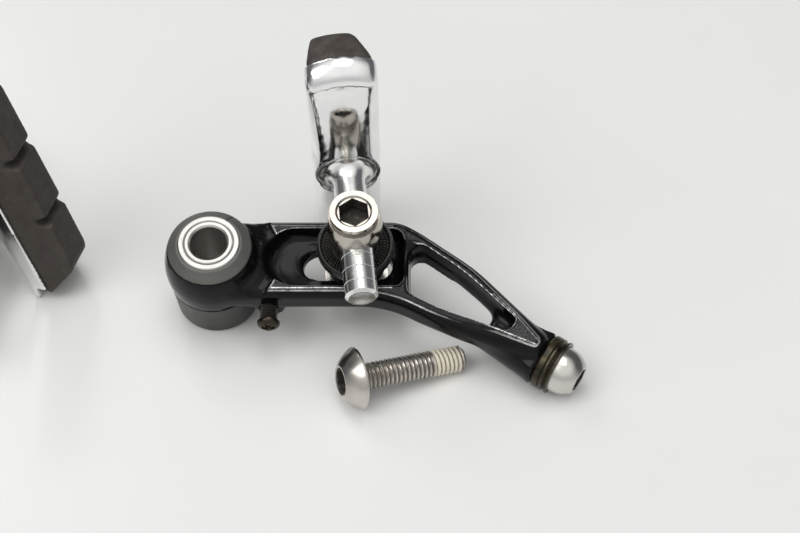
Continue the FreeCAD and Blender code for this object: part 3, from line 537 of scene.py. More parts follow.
class ForgedFinish(Finish):
    """The arm's gloss black, with duller machined lands that are rubbed bright along their edges."""

    land_dark: Triple = (0.02, 0.02, 0.021)
    land_pale: Triple = (0.085, 0.085, 0.085)
    land_roughness: float = 0.42
    fleck_span: Span = (0.42, 0.7)
    steep_spans: tuple[Span, Span] = ((22.0, 32.0), (66.0, 56.0))
    rise_span: Span = (-0.42, -0.34)
    gap_span: Span = (0.2, 0.08)
    patch_span: Span = (0.32, 0.55, 0.3, 1.0)

    def ground(self, nodes: Nodes, place: Any) -> Look:
        """Lays the gloss black and the flecked grey of the lands.

        Args:
            nodes: The material's nodes.
            place: The surface point.

        Returns:
            The look of the surface.
        """
        fleck = nodes.spread(nodes.noise(place, 2600.0, 2.0), *self.fleck_span)
        grey = Look(nodes.mix(fleck, self.land_dark, self.land_pale), self.land_roughness)
        return super().ground(nodes, place).under(nodes, nodes.noted("land"), grey)

    def worn_mask(self, nodes: Nodes, place: Any) -> Socket:
        """Finds the land edges from what the arm notes about its lands.

        Args:
            nodes: The material's nodes.
            place: The surface point.

        Returns:
            The mask.
        """
        tilt = nodes.noted("land_tilt")
        steep = nodes.times(*(nodes.spread(tilt, *span) for span in self.steep_spans))
        outer = nodes.spread(nodes.noted("land_gap"), *self.gap_span)
        raised = nodes.spread(nodes.noted("land_rise"), *self.rise_span)
        patchy = nodes.spread(nodes.noise(place, 900.0, 4.0, 0.65), *self.patch_span)
        return nodes.times(nodes.math("MAXIMUM", steep, outer), raised, patchy, self.wear)


class KnurledFinish(Finish):
    """A dark finish whose knurl crests are painted bright, as worn metal and as painted glints."""

    crest_span: Span = (0.45, 0.8)
    patch_span: Span = (0.35, 0.6, 0.25, 1.0)

    def worn_mask(self, nodes: Nodes, place: Any) -> Socket:
        """Gives the mask of the crests, read from the knurl's own heights, where wear and painted glints go.
        """
        patchy = nodes.spread(nodes.noise(place, 700.0, 3.0), *self.patch_span)
        return nodes.times(nodes.spread(nodes.noted("crest"), *self.crest_span), patchy, self.wear)


@dataclass(frozen=True)
class BandFinish(Finish):
    """A turned finish with a band of another look between two places along its axis, and roots darkened with
    painted shade.
    """

    band_start: float = 0.0
    band_end: float = 0.001
    band_blend: float = 0.0003
    band: Look = Look((0.5, 0.5, 0.5), 0.5, 0.0)
    ragged: float = 0.0
    hole_span: Span = (0.27, 0.34)
    root: Triple = (0.02, 0.02, 0.02)
    root_span: Span = (0.5, 1.0, 0.0, 0.85)
    crest_span: Span = (1.0, 0.7)

    def look(self, nodes: Nodes, place: Any, about: Any) -> Look:
        """Lays the finish with its roots darkened by painted shade, and its band.

        Args:
            nodes: The material's nodes.
            place: The surface point.
            about: The same point in the frame of the turned axis.

        Returns:
            The look of the surface.
        """
        depth = nodes.noted("thread_root")
        # The thread's roots are painted darker as shade.
        dark = Look(self.root, 0.5, 0.6)
        look = super().look(nodes, place, about).under(nodes, nodes.spread(depth, *self.root_span), dark)
        mask = nodes.times(self.band_mask(nodes, about), nodes.spread(depth, *self.crest_span))
        return look.under(nodes, mask, self.band)

    def band_mask(self, nodes: Nodes, about: Any) -> Socket:
        """Finds the band.

        Args:
            nodes: The material's nodes.
            about: The surface point in the frame of the turned axis.

        Returns:
            The mask.
        """
        reach = nodes.add("SeparateXYZ", {0: about}).outputs[2]
        if self.ragged > 0.0:
            waver = nodes.math("SUBTRACT", nodes.noise(about, 520.0, 4.0), 0.5)
            reach = nodes.math("ADD", reach, nodes.times(waver, self.ragged))
        mask = nodes.times(nodes.spread(reach, self.band_start, self.band_start + self.band_blend),
                           nodes.spread(reach, self.band_end, self.band_end - self.band_blend))
        if self.ragged > 0.0:
            mask = nodes.times(mask, nodes.spread(nodes.noise(about, 1500.0, 3.0), *self.hole_span))
        return mask


ALUMINIUM: Triple = (0.7, 0.7, 0.69)
OIL: Triple = (0.05, 0.034, 0.02)
BLACK_ANODISED = ForgedFinish(
    "black_anodised", (0.0032, 0.0032, 0.0034), (0.006, 0.006, 0.006), 0.0, 0.13, 0.05, grain=0.05,
    worn=ALUMINIUM, wear=0.85, dust=0.025, scratches=0.3, specular=0.17)
GREY_ANODISED = Finish(
    "grey_anodised", (0.125, 0.126, 0.116), (0.098, 0.099, 0.091), 0.3, 0.42, 0.06, grain=0.2,
    lathe=0.25, lathe_rings=2600.0, worn=ALUMINIUM, wear=0.3, grime=0.3)
BRIGHT_STEEL = Finish(
    "bright_steel", (0.68, 0.67, 0.64), (0.58, 0.57, 0.54), 1.0, 0.34, 0.07, grain=0.08,
    lathe=0.4, lathe_rings=3600.0, grime=0.8, grime_and_shade_reach=0.0006, grime_and_shade_colour=(0.05, 0.035, 0.02))
# The eyebolt's wide grime reach also lays painted shade under its ball, next to the washer.
NICKEL_STEEL = Finish(
    "nickel_steel", (0.53, 0.495, 0.445), (0.42, 0.39, 0.35), 1.0, 0.15, 0.05, cloud_scale=220.0,
    grain=0.1, lathe=0.15, lathe_rings=2200.0, grime=0.6, grime_and_shade_reach=0.0015,
    grime_and_shade_colour=(0.04, 0.03, 0.02), socket=(0.0036, 0.0318, 0.03648))
# The bright worn crests of this knurl also stand in as painted glints.
KNURLED_STEEL = KnurledFinish(
    "dark_steel", (0.007, 0.007, 0.007), (0.012, 0.011, 0.01), 0.3, 0.3, 0.07,
    worn=(0.24, 0.24, 0.235), wear=0.8, dust=0.03)
DARK_STEEL = Finish(
    "dark_steel", (0.012, 0.012, 0.012), (0.02, 0.019, 0.018), 0.4, 0.28, 0.07,
    worn=(0.26, 0.26, 0.25), wear=0.36, wear_reach=0.0003, dust=0.05)
BRONZED_STEEL = BandFinish(
    "dark_steel", (0.045, 0.04, 0.035), (0.03, 0.026, 0.022), 0.8, 0.24, 0.08, cloud_scale=500.0,
    worn=(0.3, 0.27, 0.22), wear=0.3, wear_reach=0.0002, grime=0.3, band_start=-0.001, band_end=0.0018,
    band=Look((0.045, 0.036, 0.027), 0.22, 0.9), root=(0.004, 0.004, 0.004))
TURNED_ALUMINIUM = Finish(
    "turned_aluminium", (0.9, 0.9, 0.89), (0.8, 0.8, 0.79), 1.0, 0.2, 0.06, grain=0.06,
    lathe=0.3, lathe_rings=3000.0, grime=0.8, grime_and_shade_reach=0.0004, scratches=0.5)
POLISHED_ALUMINIUM = Finish(
    "polished_aluminium", (0.88, 0.88, 0.87), (0.78, 0.79, 0.8), 1.0, 0.1, 0.06, cloud_scale=160.0,
    grain=0.04, grain_scale=1200.0, scratches=0.6, edge=0.0003)
STAINLESS = Finish(
    "stainless", (0.66, 0.64, 0.6), (0.54, 0.52, 0.49), 1.0, 0.2, 0.07, cloud_scale=200.0, grain=0.1,
    lathe=0.2, lathe_rings=2600.0, grime=0.6, grime_and_shade_colour=OIL, socket=(0.003, 0.0057, 0.00872))
LOCKED_STAINLESS = BandFinish(
    "stainless", (0.62, 0.59, 0.55), (0.5, 0.47, 0.43), 1.0, 0.23, 0.06, cloud_scale=200.0, grain=0.08,
    grime=0.5, grime_and_shade_colour=OIL, socket=(0.003, -0.00395, -0.0004), band_start=0.0167, band_end=0.0236,
    band=Look((0.72, 0.67, 0.55), 0.6, 0.0), ragged=0.0016, root=(0.075, 0.055, 0.04))
DIRTY_STEEL = Finish(
    "dirty_steel", (0.062, 0.05, 0.024), (0.007, 0.006, 0.005), 0.6, 0.24, 0.12, cloud_scale=420.0,
    grain=0.4, grain_scale=1600.0, lathe=0.4, worn=(0.4, 0.35, 0.25), wear=0.42, wear_reach=0.0004,
    grime=0.8, dust=0.15)
SPRING_STEEL = Finish(
    "spring_steel", (0.16, 0.15, 0.14), (0.1, 0.09, 0.08), 1.0, 0.36, 0.1, grain=0.2, grime=0.5)
BLACK_PLASTIC = Finish(
    "black_plastic", (0.03, 0.0294, 0.0285), (0.04, 0.0392, 0.038), 0.0, 0.4, 0.07, grain=0.4,
    grain_scale=2600.0, dust=0.2, specular=0.42)
PAD_RUBBER = Finish(
    "pad_rubber", (0.042, 0.034, 0.029), (0.058, 0.049, 0.043), 0.0, 0.6, 0.1, cloud_scale=300.0,
    grain=0.7, grain_scale=1500.0, dust=0.3, specular=0.3, edge=0.0003)


# Meshes


class Ring(NamedTuple):
    """One ring of a turned profile, in millimetres; a hexagonal ring has its radius at the flats."""

    radius: float
    height: float
    hexagonal: bool = False


class Skin(NamedTuple):
    """The angles, radii and heights of a turned mesh's points, with a row for each ring."""

    angle: Array
    radius: Array
    height: Array


@dataclass
class Turned:
    """A mesh turned from rings about z, in millimetres, with relief worked into it."""

    rings: Sequence[Sequence[float]]
    steps: int
    fineness: float = math.inf
    relief: Callable[[Skin], Skin] = lambda skin: skin
    capped: bool = True

    def mesh(self) -> Mesh:
        """Turns the profile.

        Returns:
            The mesh's points and faces.
        """
        radius, height, hexagonal = np.array(self.refined(), dtype=float).T[:, :, None]
        angle = np.arange(self.steps) * TURN / self.steps
        corner = np.cos(np.mod(angle, math.pi / 3.0) - math.pi / 6.0)
        radius = radius / np.where(hexagonal > 0.0, corner, 1.0)
        skin = self.relief(Skin(angle + np.zeros_like(radius), radius, height + np.zeros_like(radius)))
        x, y = skin.radius * np.cos(angle), skin.radius * np.sin(angle)
        return np.stack([x, y, skin.height], axis=-1).reshape(-1, 3), self.faces(len(radius))

    def refined(self) -> list[Ring]:
        """Adds rings between those given, so that none are further apart than the fineness.

        Returns:
            All the rings.
        """
        rings = [Ring(*self.rings[0])]
        for ring in (Ring(*values) for values in self.rings[1:]):
            last = rings[-1]
            wider, higher = ring.radius - last.radius, ring.height - last.height
            parts = max(1, math.ceil(math.hypot(wider, higher) / self.fineness))
            rings += [Ring(last.radius + wider * (part / parts), last.height + higher * (part / parts),
                           ring.hexagonal) for part in range(1, parts + 1)]
        return rings

    def faces(self, count: int) -> list[list[int]]:
        """Gives the quads between the rings, and the two end faces of a capped mesh.

        Args:
            count: How many rings there are.

        Returns:
            The faces.
        """
        step = np.arange(self.steps)
        after = (step + 1) % self.steps
        quad = np.stack([step, after, after + self.steps, step + self.steps], axis=-1)
        faces = (quad + np.arange(count - 1)[:, None, None] * self.steps).reshape(-1, 4).tolist()
        if self.capped:
            faces += [step[::-1].tolist(), (step + (count - 1) * self.steps).tolist()]
        return faces


@dataclass(frozen=True)
class Thread:
    """A screw thread between two heights, in millimetres."""

    start: float
    end: float
    pitch: float
    depth: float

    def relief(self, skin: Skin) -> Skin:
        """Cuts the thread's helix into a shank, with narrow flats at its crests and roots.

        Args:
            skin: The plain shank.

        Returns:
            The threaded shank.
        """
        turns = np.mod(skin.height / self.pitch - skin.angle / TURN, 1.0)
        wave = np.clip(np.abs(turns * 2.0 - 1.0) * 1.25 - 0.12, 0.0, 1.0)
        inside = fade(skin.height, self.start, self.start + self.pitch) * (skin.height <= self.end)
        return skin._replace(radius=skin.radius - self.depth * wave * inside)

    def mark_roots(self, piece: bpy.types.Object, axis: Matrix, shank: float) -> None:
        """Notes on a made piece how deep each point lies in the thread.

        Args:
            piece: The threaded piece.
            axis: The frame of its axis, in metres.
            shank: The radius of the thread's crests, in millimetres.
        """
        x, y, z = mesh_points(piece.data, axis.inverted()).T / MM
        deep = fade(np.hypot(x, y), shank, shank - self.depth)
        note(piece.data, "thread_root", deep * (z > self.start) * (z < self.end))


@dataclass
class EvenMesh:
    """An even mesh of one node, in its sub-assembly's own millimetres, which can be eased."""

    points: Array
    faces: Array
    pairs: Array
    count: Array

    @classmethod
    def of(cls, node: str, step: float, place: Matrix) -> "EvenMesh":
        """Remeshes a node on an even grid.

        Args:
            node: The node's name.
            step: The grid's step in millimetres.
            place: From the sub-assembly's millimetres to the pair's frame.

        Returns:
            The even mesh.
        """
        copy = bpy.data.objects.new("even_work", frame["nodes"][node].data.copy())
        bpy.context.scene.collection.objects.link(copy)
        grid = copy.modifiers.new("Even", "REMESH")
        grid.mode = "VOXEL"
        grid.voxel_size = step * MM
        graph = bpy.context.evaluated_depsgraph_get()
        mesh = bpy.data.meshes.new_from_object(copy.evaluated_get(graph))
        points = mesh_points(mesh, place.inverted())
        faces = np.array([tuple(face.vertices) for face in mesh.polygons])
        bpy.data.objects.remove(copy)
        bpy.data.meshes.remove(mesh)
        sides = np.concatenate([faces[:, [corner, (corner + 1) % 4]] for corner in range(4)])
        pairs = np.unique(np.sort(sides, axis=1), axis=0)
        return cls(points, faces, pairs, np.bincount(pairs.ravel(), minlength=len(points)).astype(float))

    def mesh(self) -> Mesh:
        """Gives the points and faces."""
        return self.points, self.faces.tolist()

    def gathered(self, places: Array, values: Array) -> Array:
        """Adds up, for each point, the values that belong to it."""
        return np.stack([np.bincount(places, column, len(self.points)) for column in values.T], axis=-1)

    def drift(self) -> Array:
        """Finds each point's way to the mean of its neighbours.

        Returns:
            The ways, one in a row.
        """
        near, far = self.pairs.T
        total = self.gathered(near, self.points[far]) + self.gathered(far, self.points[near])
        return total / self.count[:, None] - self.points

    def ease(self, passes: int, share: Array) -> None:
        """Draws each point towards its neighbours, by its share of half the way at each pass."""
        for _ in range(passes):
            self.points = self.points + self.drift() * (0.5 * share)[:, None]

    def settle(self, passes: int) -> None:
        """Takes out the grid's steps and keeps the shape's size."""
        for share in (0.5, -0.52) * passes:
            self.points = self.points + self.drift() * share

    def normals(self) -> Array:
        """Finds which way the surface faces.

        Returns:
            Each point's outward direction.
        """
        corners = self.points[self.faces]
        flat = np.cross(corners[:, 2] - corners[:, 0], corners[:, 3] - corners[:, 1])
        total = sum(self.gathered(self.faces[:, corner], flat) for corner in range(4))
        return total / np.maximum(np.linalg.norm(total, axis=1), 1e-12)[:, None]


class Bench:
    """Makes meshes into pieces that ride on the part's bodies, and dresses the carried-over nodes."""

    weld: float = 1e-6
    node_weld: float = 1e-7
    crisp: float = math.radians(32.0)

    def __init__(self) -> None:
        """Starts with no pieces made."""
        self.count = 0

    def put(self, node: str, suffix: str, shape: Mesh, place: Matrix, body: str, finish: Finish,
            axis: Matrix = NO_AXIS, values: Optional[dict[str, Array]] = None) -> bpy.types.Object:
        """Puts a new piece where its node is.

        Args:
            node: The node that it stands for.
            suffix: What its name has after the node's.
            shape: Its points, in the place's own millimetres, and its faces.
            place: From those millimetres to the pair's frame.
            body: The body that it rides on.
            finish: Its finish.
            axis: The frame of its turned axis.
            values: Numbers noted on its points for its finish, by name.

        Returns:
            The new piece.
        """
        points, faces = shape
        if place.determinant() < 0.0:
            faces = [face[::-1] for face in faces]
        mesh = bpy.data.meshes.new(node + suffix)
        mesh.from_pydata(moved(points, place).tolist(), [], faces)
        for name, numbers in (values or {}).items():
            note(mesh, name, numbers)
        work = bmesh.new()
        work.from_mesh(mesh)
        bmesh.ops.remove_doubles(work, verts=work.verts, dist=self.weld)
        bmesh.ops.recalc_face_normals(work, faces=work.faces)
        work.to_mesh(mesh)
        work.free()
        piece = bpy.data.objects.new(node + suffix, mesh)
        bpy.context.scene.collection.objects.link(piece)
        self.cover(piece, finish.material(node + suffix, axis))
        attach(piece, body)
        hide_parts(node)
        self.count += 1
        LOG.info("made %s for %s", piece.name, node)
        return piece

    def cover(self, piece: bpy.types.Object, material: bpy.types.Material) -> None:
        """Gives a piece its material, and smooth shading but for its sharp edges.

        Args:
            piece: The piece.
            material: The material.
        """
        piece.data.materials.clear()
        piece.data.materials.append(material)
        piece.data.polygons.foreach_set("use_smooth", [True] * len(piece.data.polygons))
        piece.modifiers.new("Crisp edges", "EDGE_SPLIT").split_angle = self.crisp
        piece.data.update()

    def dress(self, side: Side, finishes: dict[str, Finish], axis: Matrix = NO_AXIS) -> None:
        """Gives carried-over nodes their finishes.

        Args:
            side: The side that they are on.
            finishes: The finishes, by the nodes' names.
            axis: The frame of their turned axis.
        """
        for name, finish in finishes.items():
            node = side.name_of(name)
            piece = frame["nodes"][node]
            piece.modifiers.new("Join", "WELD").merge_threshold = self.node_weld
            self.cover(piece, finish.material(node, axis))
            LOG.info("dressed %s in %s", node, finish.slot)


# One brake


def joint_of(side: Side, name: str) -> dict[str, Any]:
    """Gives the entry of one joint."""
    return next(joint for joint in frame["joints"] if joint["name"] == side.name_of(name))


@dataclass(frozen=True)
class BrakePlace:
    """Where one brake lies: the matrix from its own millimetres to the pair's frame."""

    side: Side
    matrix: Matrix

    @classmethod
    def read(cls, side: Side, pivot_height: float = 12.0) -> "BrakePlace":
        """Reads a brake's place from its joints.

        Args:
            side: The brake.
            pivot_height: The height of the pivot joint's point above the brake's foot, in millimetres.

        Returns:
            The brake's place.
        """
        x, y = (Vector(joint_of(side, name)["axis"]) for name in ("clamp_slide", "tension_slide"))
        z = x.cross(y) if side is Side.RIGHT else y.cross(x)
        origin = Vector(joint_of(side, "pivot")["pos_m"]) - z * pivot_height * MM
        axes = Matrix((x, y, z)).transposed().to_4x4()
        return cls(side, Matrix.Translation(origin) @ axes @ Matrix.Scale(MM, 4))

    def about(self, point: Triple, way: Triple) -> Matrix:
        """Gives the frame of an axis of the brake, in metres, with z along it."""
        return along(self.matrix @ Vector(point), self.matrix.to_3x3() @ Vector(way))

    def turned(self, point: Triple, way: Triple) -> Matrix:
        """Gives the matrix from an axis's own millimetres to the pair's frame, mirrored as the brake is."""
        return self.matrix @ along(Vector(point), Vector(way))


@dataclass
class Arm:
    """The forged arm. A span tells where an effect starts and where it is whole, in millimetres."""

    step: float = 0.3
    settle_passes: int = 4
    boss_radius: float = 11.0
    boss_near: Span = (4.0, 0.0)
    boss_front: Span = (2.0, 5.0)
    boss_passes: int = 80
    rib_x: float = 43.2
    rib_near: Span = (3.4, 1.275)
    rib_side: Span = (9.4, 7.9)
    rib_floor: Span = (12.0, 14.0)
    rib_passes: int = 40
    scoop_start: Span = (11.0, 13.0)
    scoop_end: Span = (22.0, 19.0)
    scoop_side: Span = (7.0, 6.0)
    scoop_floor: Span = (12.0, 13.0)
    scoop_top: Span = (17.3, 16.3)
    scoop_passes: int = 160
    end_start: Span = (1.0, 3.0)
    end_back: Span = (27.0, 20.0)
    end_top: Span = (16.5, 14.5)
    end_passes: int = 110
    elbow_back: float = 42.0
    no_edge: float = 9.0
    far_edge: tuple[Span, ...] = (
        (1.7, 0.0), (9.9, 3.0), (13.8, 4.0), (23.6, 6.5), (30.2, 7.0), (42.0, 7.9))
    near_edge: tuple[Span, ...] = (
        (1.4, -0.9), (10.0, -2.2), (14.9, -2.9), (23.7, -4.6), (29.6, -5.0), (36.0, -6.4))
    tip_edge: float = 1.6
    tip_slope: float = 0.42
    tip_reach: float = 2.6
    tip_back: Span = (26.0, 10.0)
    tip_floor: Span = (14.5, 16.5)
    root_depth: float = 0.6
    root_start: Span = (11.5, 13.0)
    root_end: Span = (15.2, 14.5)
    root_front: Span = (6.0, 8.0)
    root_floor: Span = (16.0, 17.2)
    root_top: Span = (19.0, 18.2)
    land_height: float = 18.0
    land_start: float = 15.2
    land_half: float = 7.8
    land_drop: float = 4.0
    land_tilt: Span = (9.0, 6.0)
    land_rise: Span = (-0.3, -0.2)
    land_gap: Span = (0.0, -0.15)
    crisp_back: float = 16.0

    def build(self, bench: Bench, brakes: Sequence[BrakePlace]) -> None:
        """Makes both arms, the left one as the mirror image of the right one.

        Args:
            bench: What makes the pieces.
            brakes: The places of the right and the left brake.
        """
        shape = EvenMesh.of(Side.RIGHT.name_of("arm"), self.step, brakes[0].matrix)
        shape.settle(self.settle_passes)
        self.blend(shape)
        self.bevel_tip(shape)
        self.sink_roots(shape)
        notes = self.lands(shape)
        for place in brakes:
            arm = place.side.name_of("arm")
            bench.put(arm, ".forging", shape.mesh(), place.matrix, arm, BLACK_ANODISED, values=notes)

    def forearm(self, shape: EvenMesh) -> tuple[Array, Array]:
        """Measures the points along the arm's end.

        Args:
            shape: The arm's mesh.

        Returns:
            How far back from the arm's end each point is, and how far across it towards the rim.
        """
        x, y = shape.points[:, 0] - ARM_END[0], shape.points[:, 1] - ARM_END[1]
        cos, sin = math.cos(ARM_ANGLE), math.sin(ARM_ANGLE)
        return y * sin - x * cos, x * sin + y * cos

    def blend(self, shape: EvenMesh) -> None:
        """Eases the roots of the boss, the rib, the pocket and the round end into wide blends.

        Args:
            shape: The arm's mesh.
        """
        x, y, z = shape.points.T
        near_boss = fade(np.abs(np.hypot(x, y) - self.boss_radius), *self.boss_near)
        shape.ease(self.boss_passes, near_boss * fade(x, *self.boss_front))
        x, y, z = shape.points.T
        near_rib = fade(np.abs(x - self.rib_x), *self.rib_near) * fade(np.abs(y), *self.rib_side)
        shape.ease(self.rib_passes, near_rib * fade(z, *self.rib_floor))
        x, y, z = shape.points.T
        pocket = fade(x, *self.scoop_start) * fade(x, *self.scoop_end) * fade(np.abs(y), *self.scoop_side)
        shape.ease(self.scoop_passes, pocket * fade(z, *self.scoop_floor) * fade(z, *self.scoop_top))
        back, _ = self.forearm(shape)
        round_end = fade(back, *self.end_start) * fade(back, *self.end_back)
        shape.ease(self.end_passes, round_end * fade(shape.points[:, 2], *self.end_top))

    def edge_gap(self, shape: EvenMesh) -> Array:
        """Measures how far points lie outside the lands' outer edges in plan.

        Args:
            shape: The arm's mesh.

        Returns:
            The distances, negative inside the edges.
        """
        back, side = self.forearm(shape)
        far, near = (np.interp(back, *zip(*edge)) for edge in (self.far_edge, self.near_edge))
        fork = np.maximum(np.maximum(side - far, near - side), self.tip_edge - back)
        fork = np.where(back > self.elbow_back, self.no_edge, fork)
        rails = np.maximum(np.abs(shape.points[:, 1]) - self.land_half, shape.points[:, 0] - self.rib_x)
        return np.minimum(fork, rails)

    def bevel_tip(self, shape: EvenMesh) -> None:
        """Lowers what lies outside the pointed land towards the arm's end.

        Args:
            shape: The arm's mesh.
        """
        outside = np.clip(self.edge_gap(shape), 0.0, self.tip_reach)
        share = fade(self.forearm(shape)[0], *self.tip_back) * fade(shape.points[:, 2], *self.tip_floor)
        shape.points[:, 2] -= self.tip_slope * outside * share

    def sink_roots(self, shape: EvenMesh) -> None:
        """Lowers the arm's top between the boss and the start of the lands.

        Args:
            shape: The arm's mesh.
        """
        x, y, z = shape.points.T
        radius = np.hypot(x, y)
        share = fade(radius, *self.root_start) * fade(radius, *self.root_end) * fade(x, *self.root_front)
        z -= self.root_depth * share * fade(z, *self.root_floor) * fade(z, *self.root_top)

    def lands(self, shape: EvenMesh) -> dict[str, Array]:
        """Finds the machined lands.

        Args:
            shape: The arm's mesh.

        Returns:
            Each point's tilt, its height over the lands, its distance to their edge, and what is land.
        """
        x, y, z = shape.points.T
        tilt = np.degrees(np.arccos(np.clip(shape.normals()[:, 2], -1.0, 1.0)))
        started = np.hypot(x, y) - self.land_start
        rise = z - self.land_height + np.clip(started, -self.land_drop, 0.0)
        gap = self.edge_gap(shape)
        crisp = (self.forearm(shape)[0] < self.crisp_back) | (x < self.rib_x - self.rib_near[0])
        edge = np.where(gap < 0.0, np.minimum(-gap, np.abs(started)), gap)
        land = fade(tilt, *self.land_tilt) * fade(rise, *self.land_rise) * fade(gap, *self.land_gap)
        return {"land_tilt": tilt, "land_rise": rise, "land_gap": np.where(crisp, edge, self.no_edge),
                "land": land}


@dataclass
class Pivot:
    """The pivot's sleeve, bush and cap, and the spring housing with its spring and tension screw."""

    screw_place: Triple = (12.6, -14.5, 11.6)
    screw_way: Triple = (0.0, 1.0, 0.0)
    screw_d: float = 3.8
    screw_length: float = 9.2
    screw_steps: int = 72
    screw_fineness: float = 0.1
    head_d: float = 5.0
    head: float = 1.7
    dome: float = 0.72
    dome_steps: int = 10
    cross: Span = (1.5, 1.25)
    cross_width: float = 0.9
    cross_depth: float = 0.9
    cross_reach: float = 0.7
    thread: Thread = Thread(1.7, 10.5, 0.7, 0.36)
    cap_foot: float = 21.5
    cap_rim: float = 21.9
    cap_top: float = 23.55
    cap_d: float = 18.2
    cap_top_d: float = 14.2
    cap_bore_d: float = 13.4
    cap_steps: int = 480
    cap_fineness: float = 0.35
    slit_angle: float = math.radians(58.0)
    slit: Span = (0.17, 0.11)
    slit_depth: float = 0.25

    def build(self, bench: Bench, place: BrakePlace) -> None:
        """Dresses the pivot's nodes and makes the slit cap and the threaded screw.

        Args:
            bench: What makes the pieces.
            place: The brake's place.
        """
        about = place.about((0.0, 0.0, 0.0), UP)
        bench.dress(place.side, {"pivot_sleeve": BRIGHT_STEEL, "pivot_bush": BRIGHT_STEEL,
                                 "spring_housing": BLACK_PLASTIC, "return_spring": SPRING_STEEL}, about)
        cap = Turned(self.cap_rings(), self.cap_steps, self.cap_fineness, self.cut_slit, capped=False)
        bench.put(place.side.name_of("pivot_cap"), ".slit", cap.mesh(), place.matrix,
                  place.side.name_of("arm"), GREY_ANODISED, about)
        screw = Turned(self.screw_rings(), self.screw_steps, self.screw_fineness, self.cut_screw)
        node = place.side.name_of("tension_screw")
        axis = place.about(self.screw_place, self.screw_way)
        piece = bench.put(node, ".threaded", screw.mesh(), place.turned(self.screw_place, self.screw_way),
                          node, BRONZED_STEEL, axis)
        self.thread.mark_roots(piece, axis, self.screw_d / 2.0)

    def cap_rings(self) -> list[Span]:
        """Draws the cap's profile, with eased edges.

        Returns:
            The rings.
        """
        bore, outer, inner = self.cap_bore_d / 2.0, self.cap_d / 2.0, self.cap_top_d / 2.0
        foot, rim, top = self.cap_foot, self.cap_rim, self.cap_top
        return [(bore, top), (bore, foot), (outer - 0.1, foot), (outer, foot + 0.1), (outer, rim - 0.12),
                (outer - 0.06, rim), (outer - 0.2, rim + 0.14), (inner + 0.15, top - 0.09),
                (inner, top - 0.02), (inner - 0.1, top), (bore, top)]

    def cut_slit(self, skin: Skin) -> Skin:
        """Cuts the slit into the cap's cone.

        Args:
            skin: The plain cap.

        Returns:
            The slit cap.
        """
        off = np.abs(skin.angle - self.slit_angle) * skin.radius
        deep = fade(off, *self.slit) * (skin.height > self.cap_rim)
        sunk = deep * np.minimum(self.slit_depth, skin.height - self.cap_rim)
        return skin._replace(height=skin.height - sunk)

    def screw_rings(self) -> list[Span]:
        """Draws the screw's profile, from its domed head to its tip.

        Returns:
            The rings.
        """
        shank, head, tip = self.screw_d / 2.0, self.head_d / 2.0, self.head + self.screw_length
        turns = [turn * math.pi / (2.0 * self.dome_steps) for turn in range(1, self.dome_steps + 1)]
        dome = [(head * math.sin(turn), self.head * self.dome * (1.0 - math.cos(turn))) for turn in turns]
        return [(TIP, 0.0), *dome, (head, self.head - 0.15), (head - 0.15, self.head), (shank, self.head),
                (shank, tip - 0.4), (shank - 0.4, tip), (TIP, tip)]

    def cut_screw(self, skin: Skin) -> Skin:
        """Cuts the screw's thread and the cross in its head.

        Args:
            skin: The plain screw.

        Returns:
            The worked screw.
        """
        skin = self.thread.relief(skin)
        angle, radius, height = skin
        off = np.minimum(np.abs(radius * np.cos(angle)), np.abs(radius * np.sin(angle)))
        deep = fade(radius, *self.cross) * (off < self.cross_width / 2.0)
        deep = deep * (height < self.head * self.cross_reach)
        return skin._replace(height=height + deep * (self.cross_depth - np.minimum(height, self.cross_depth)))


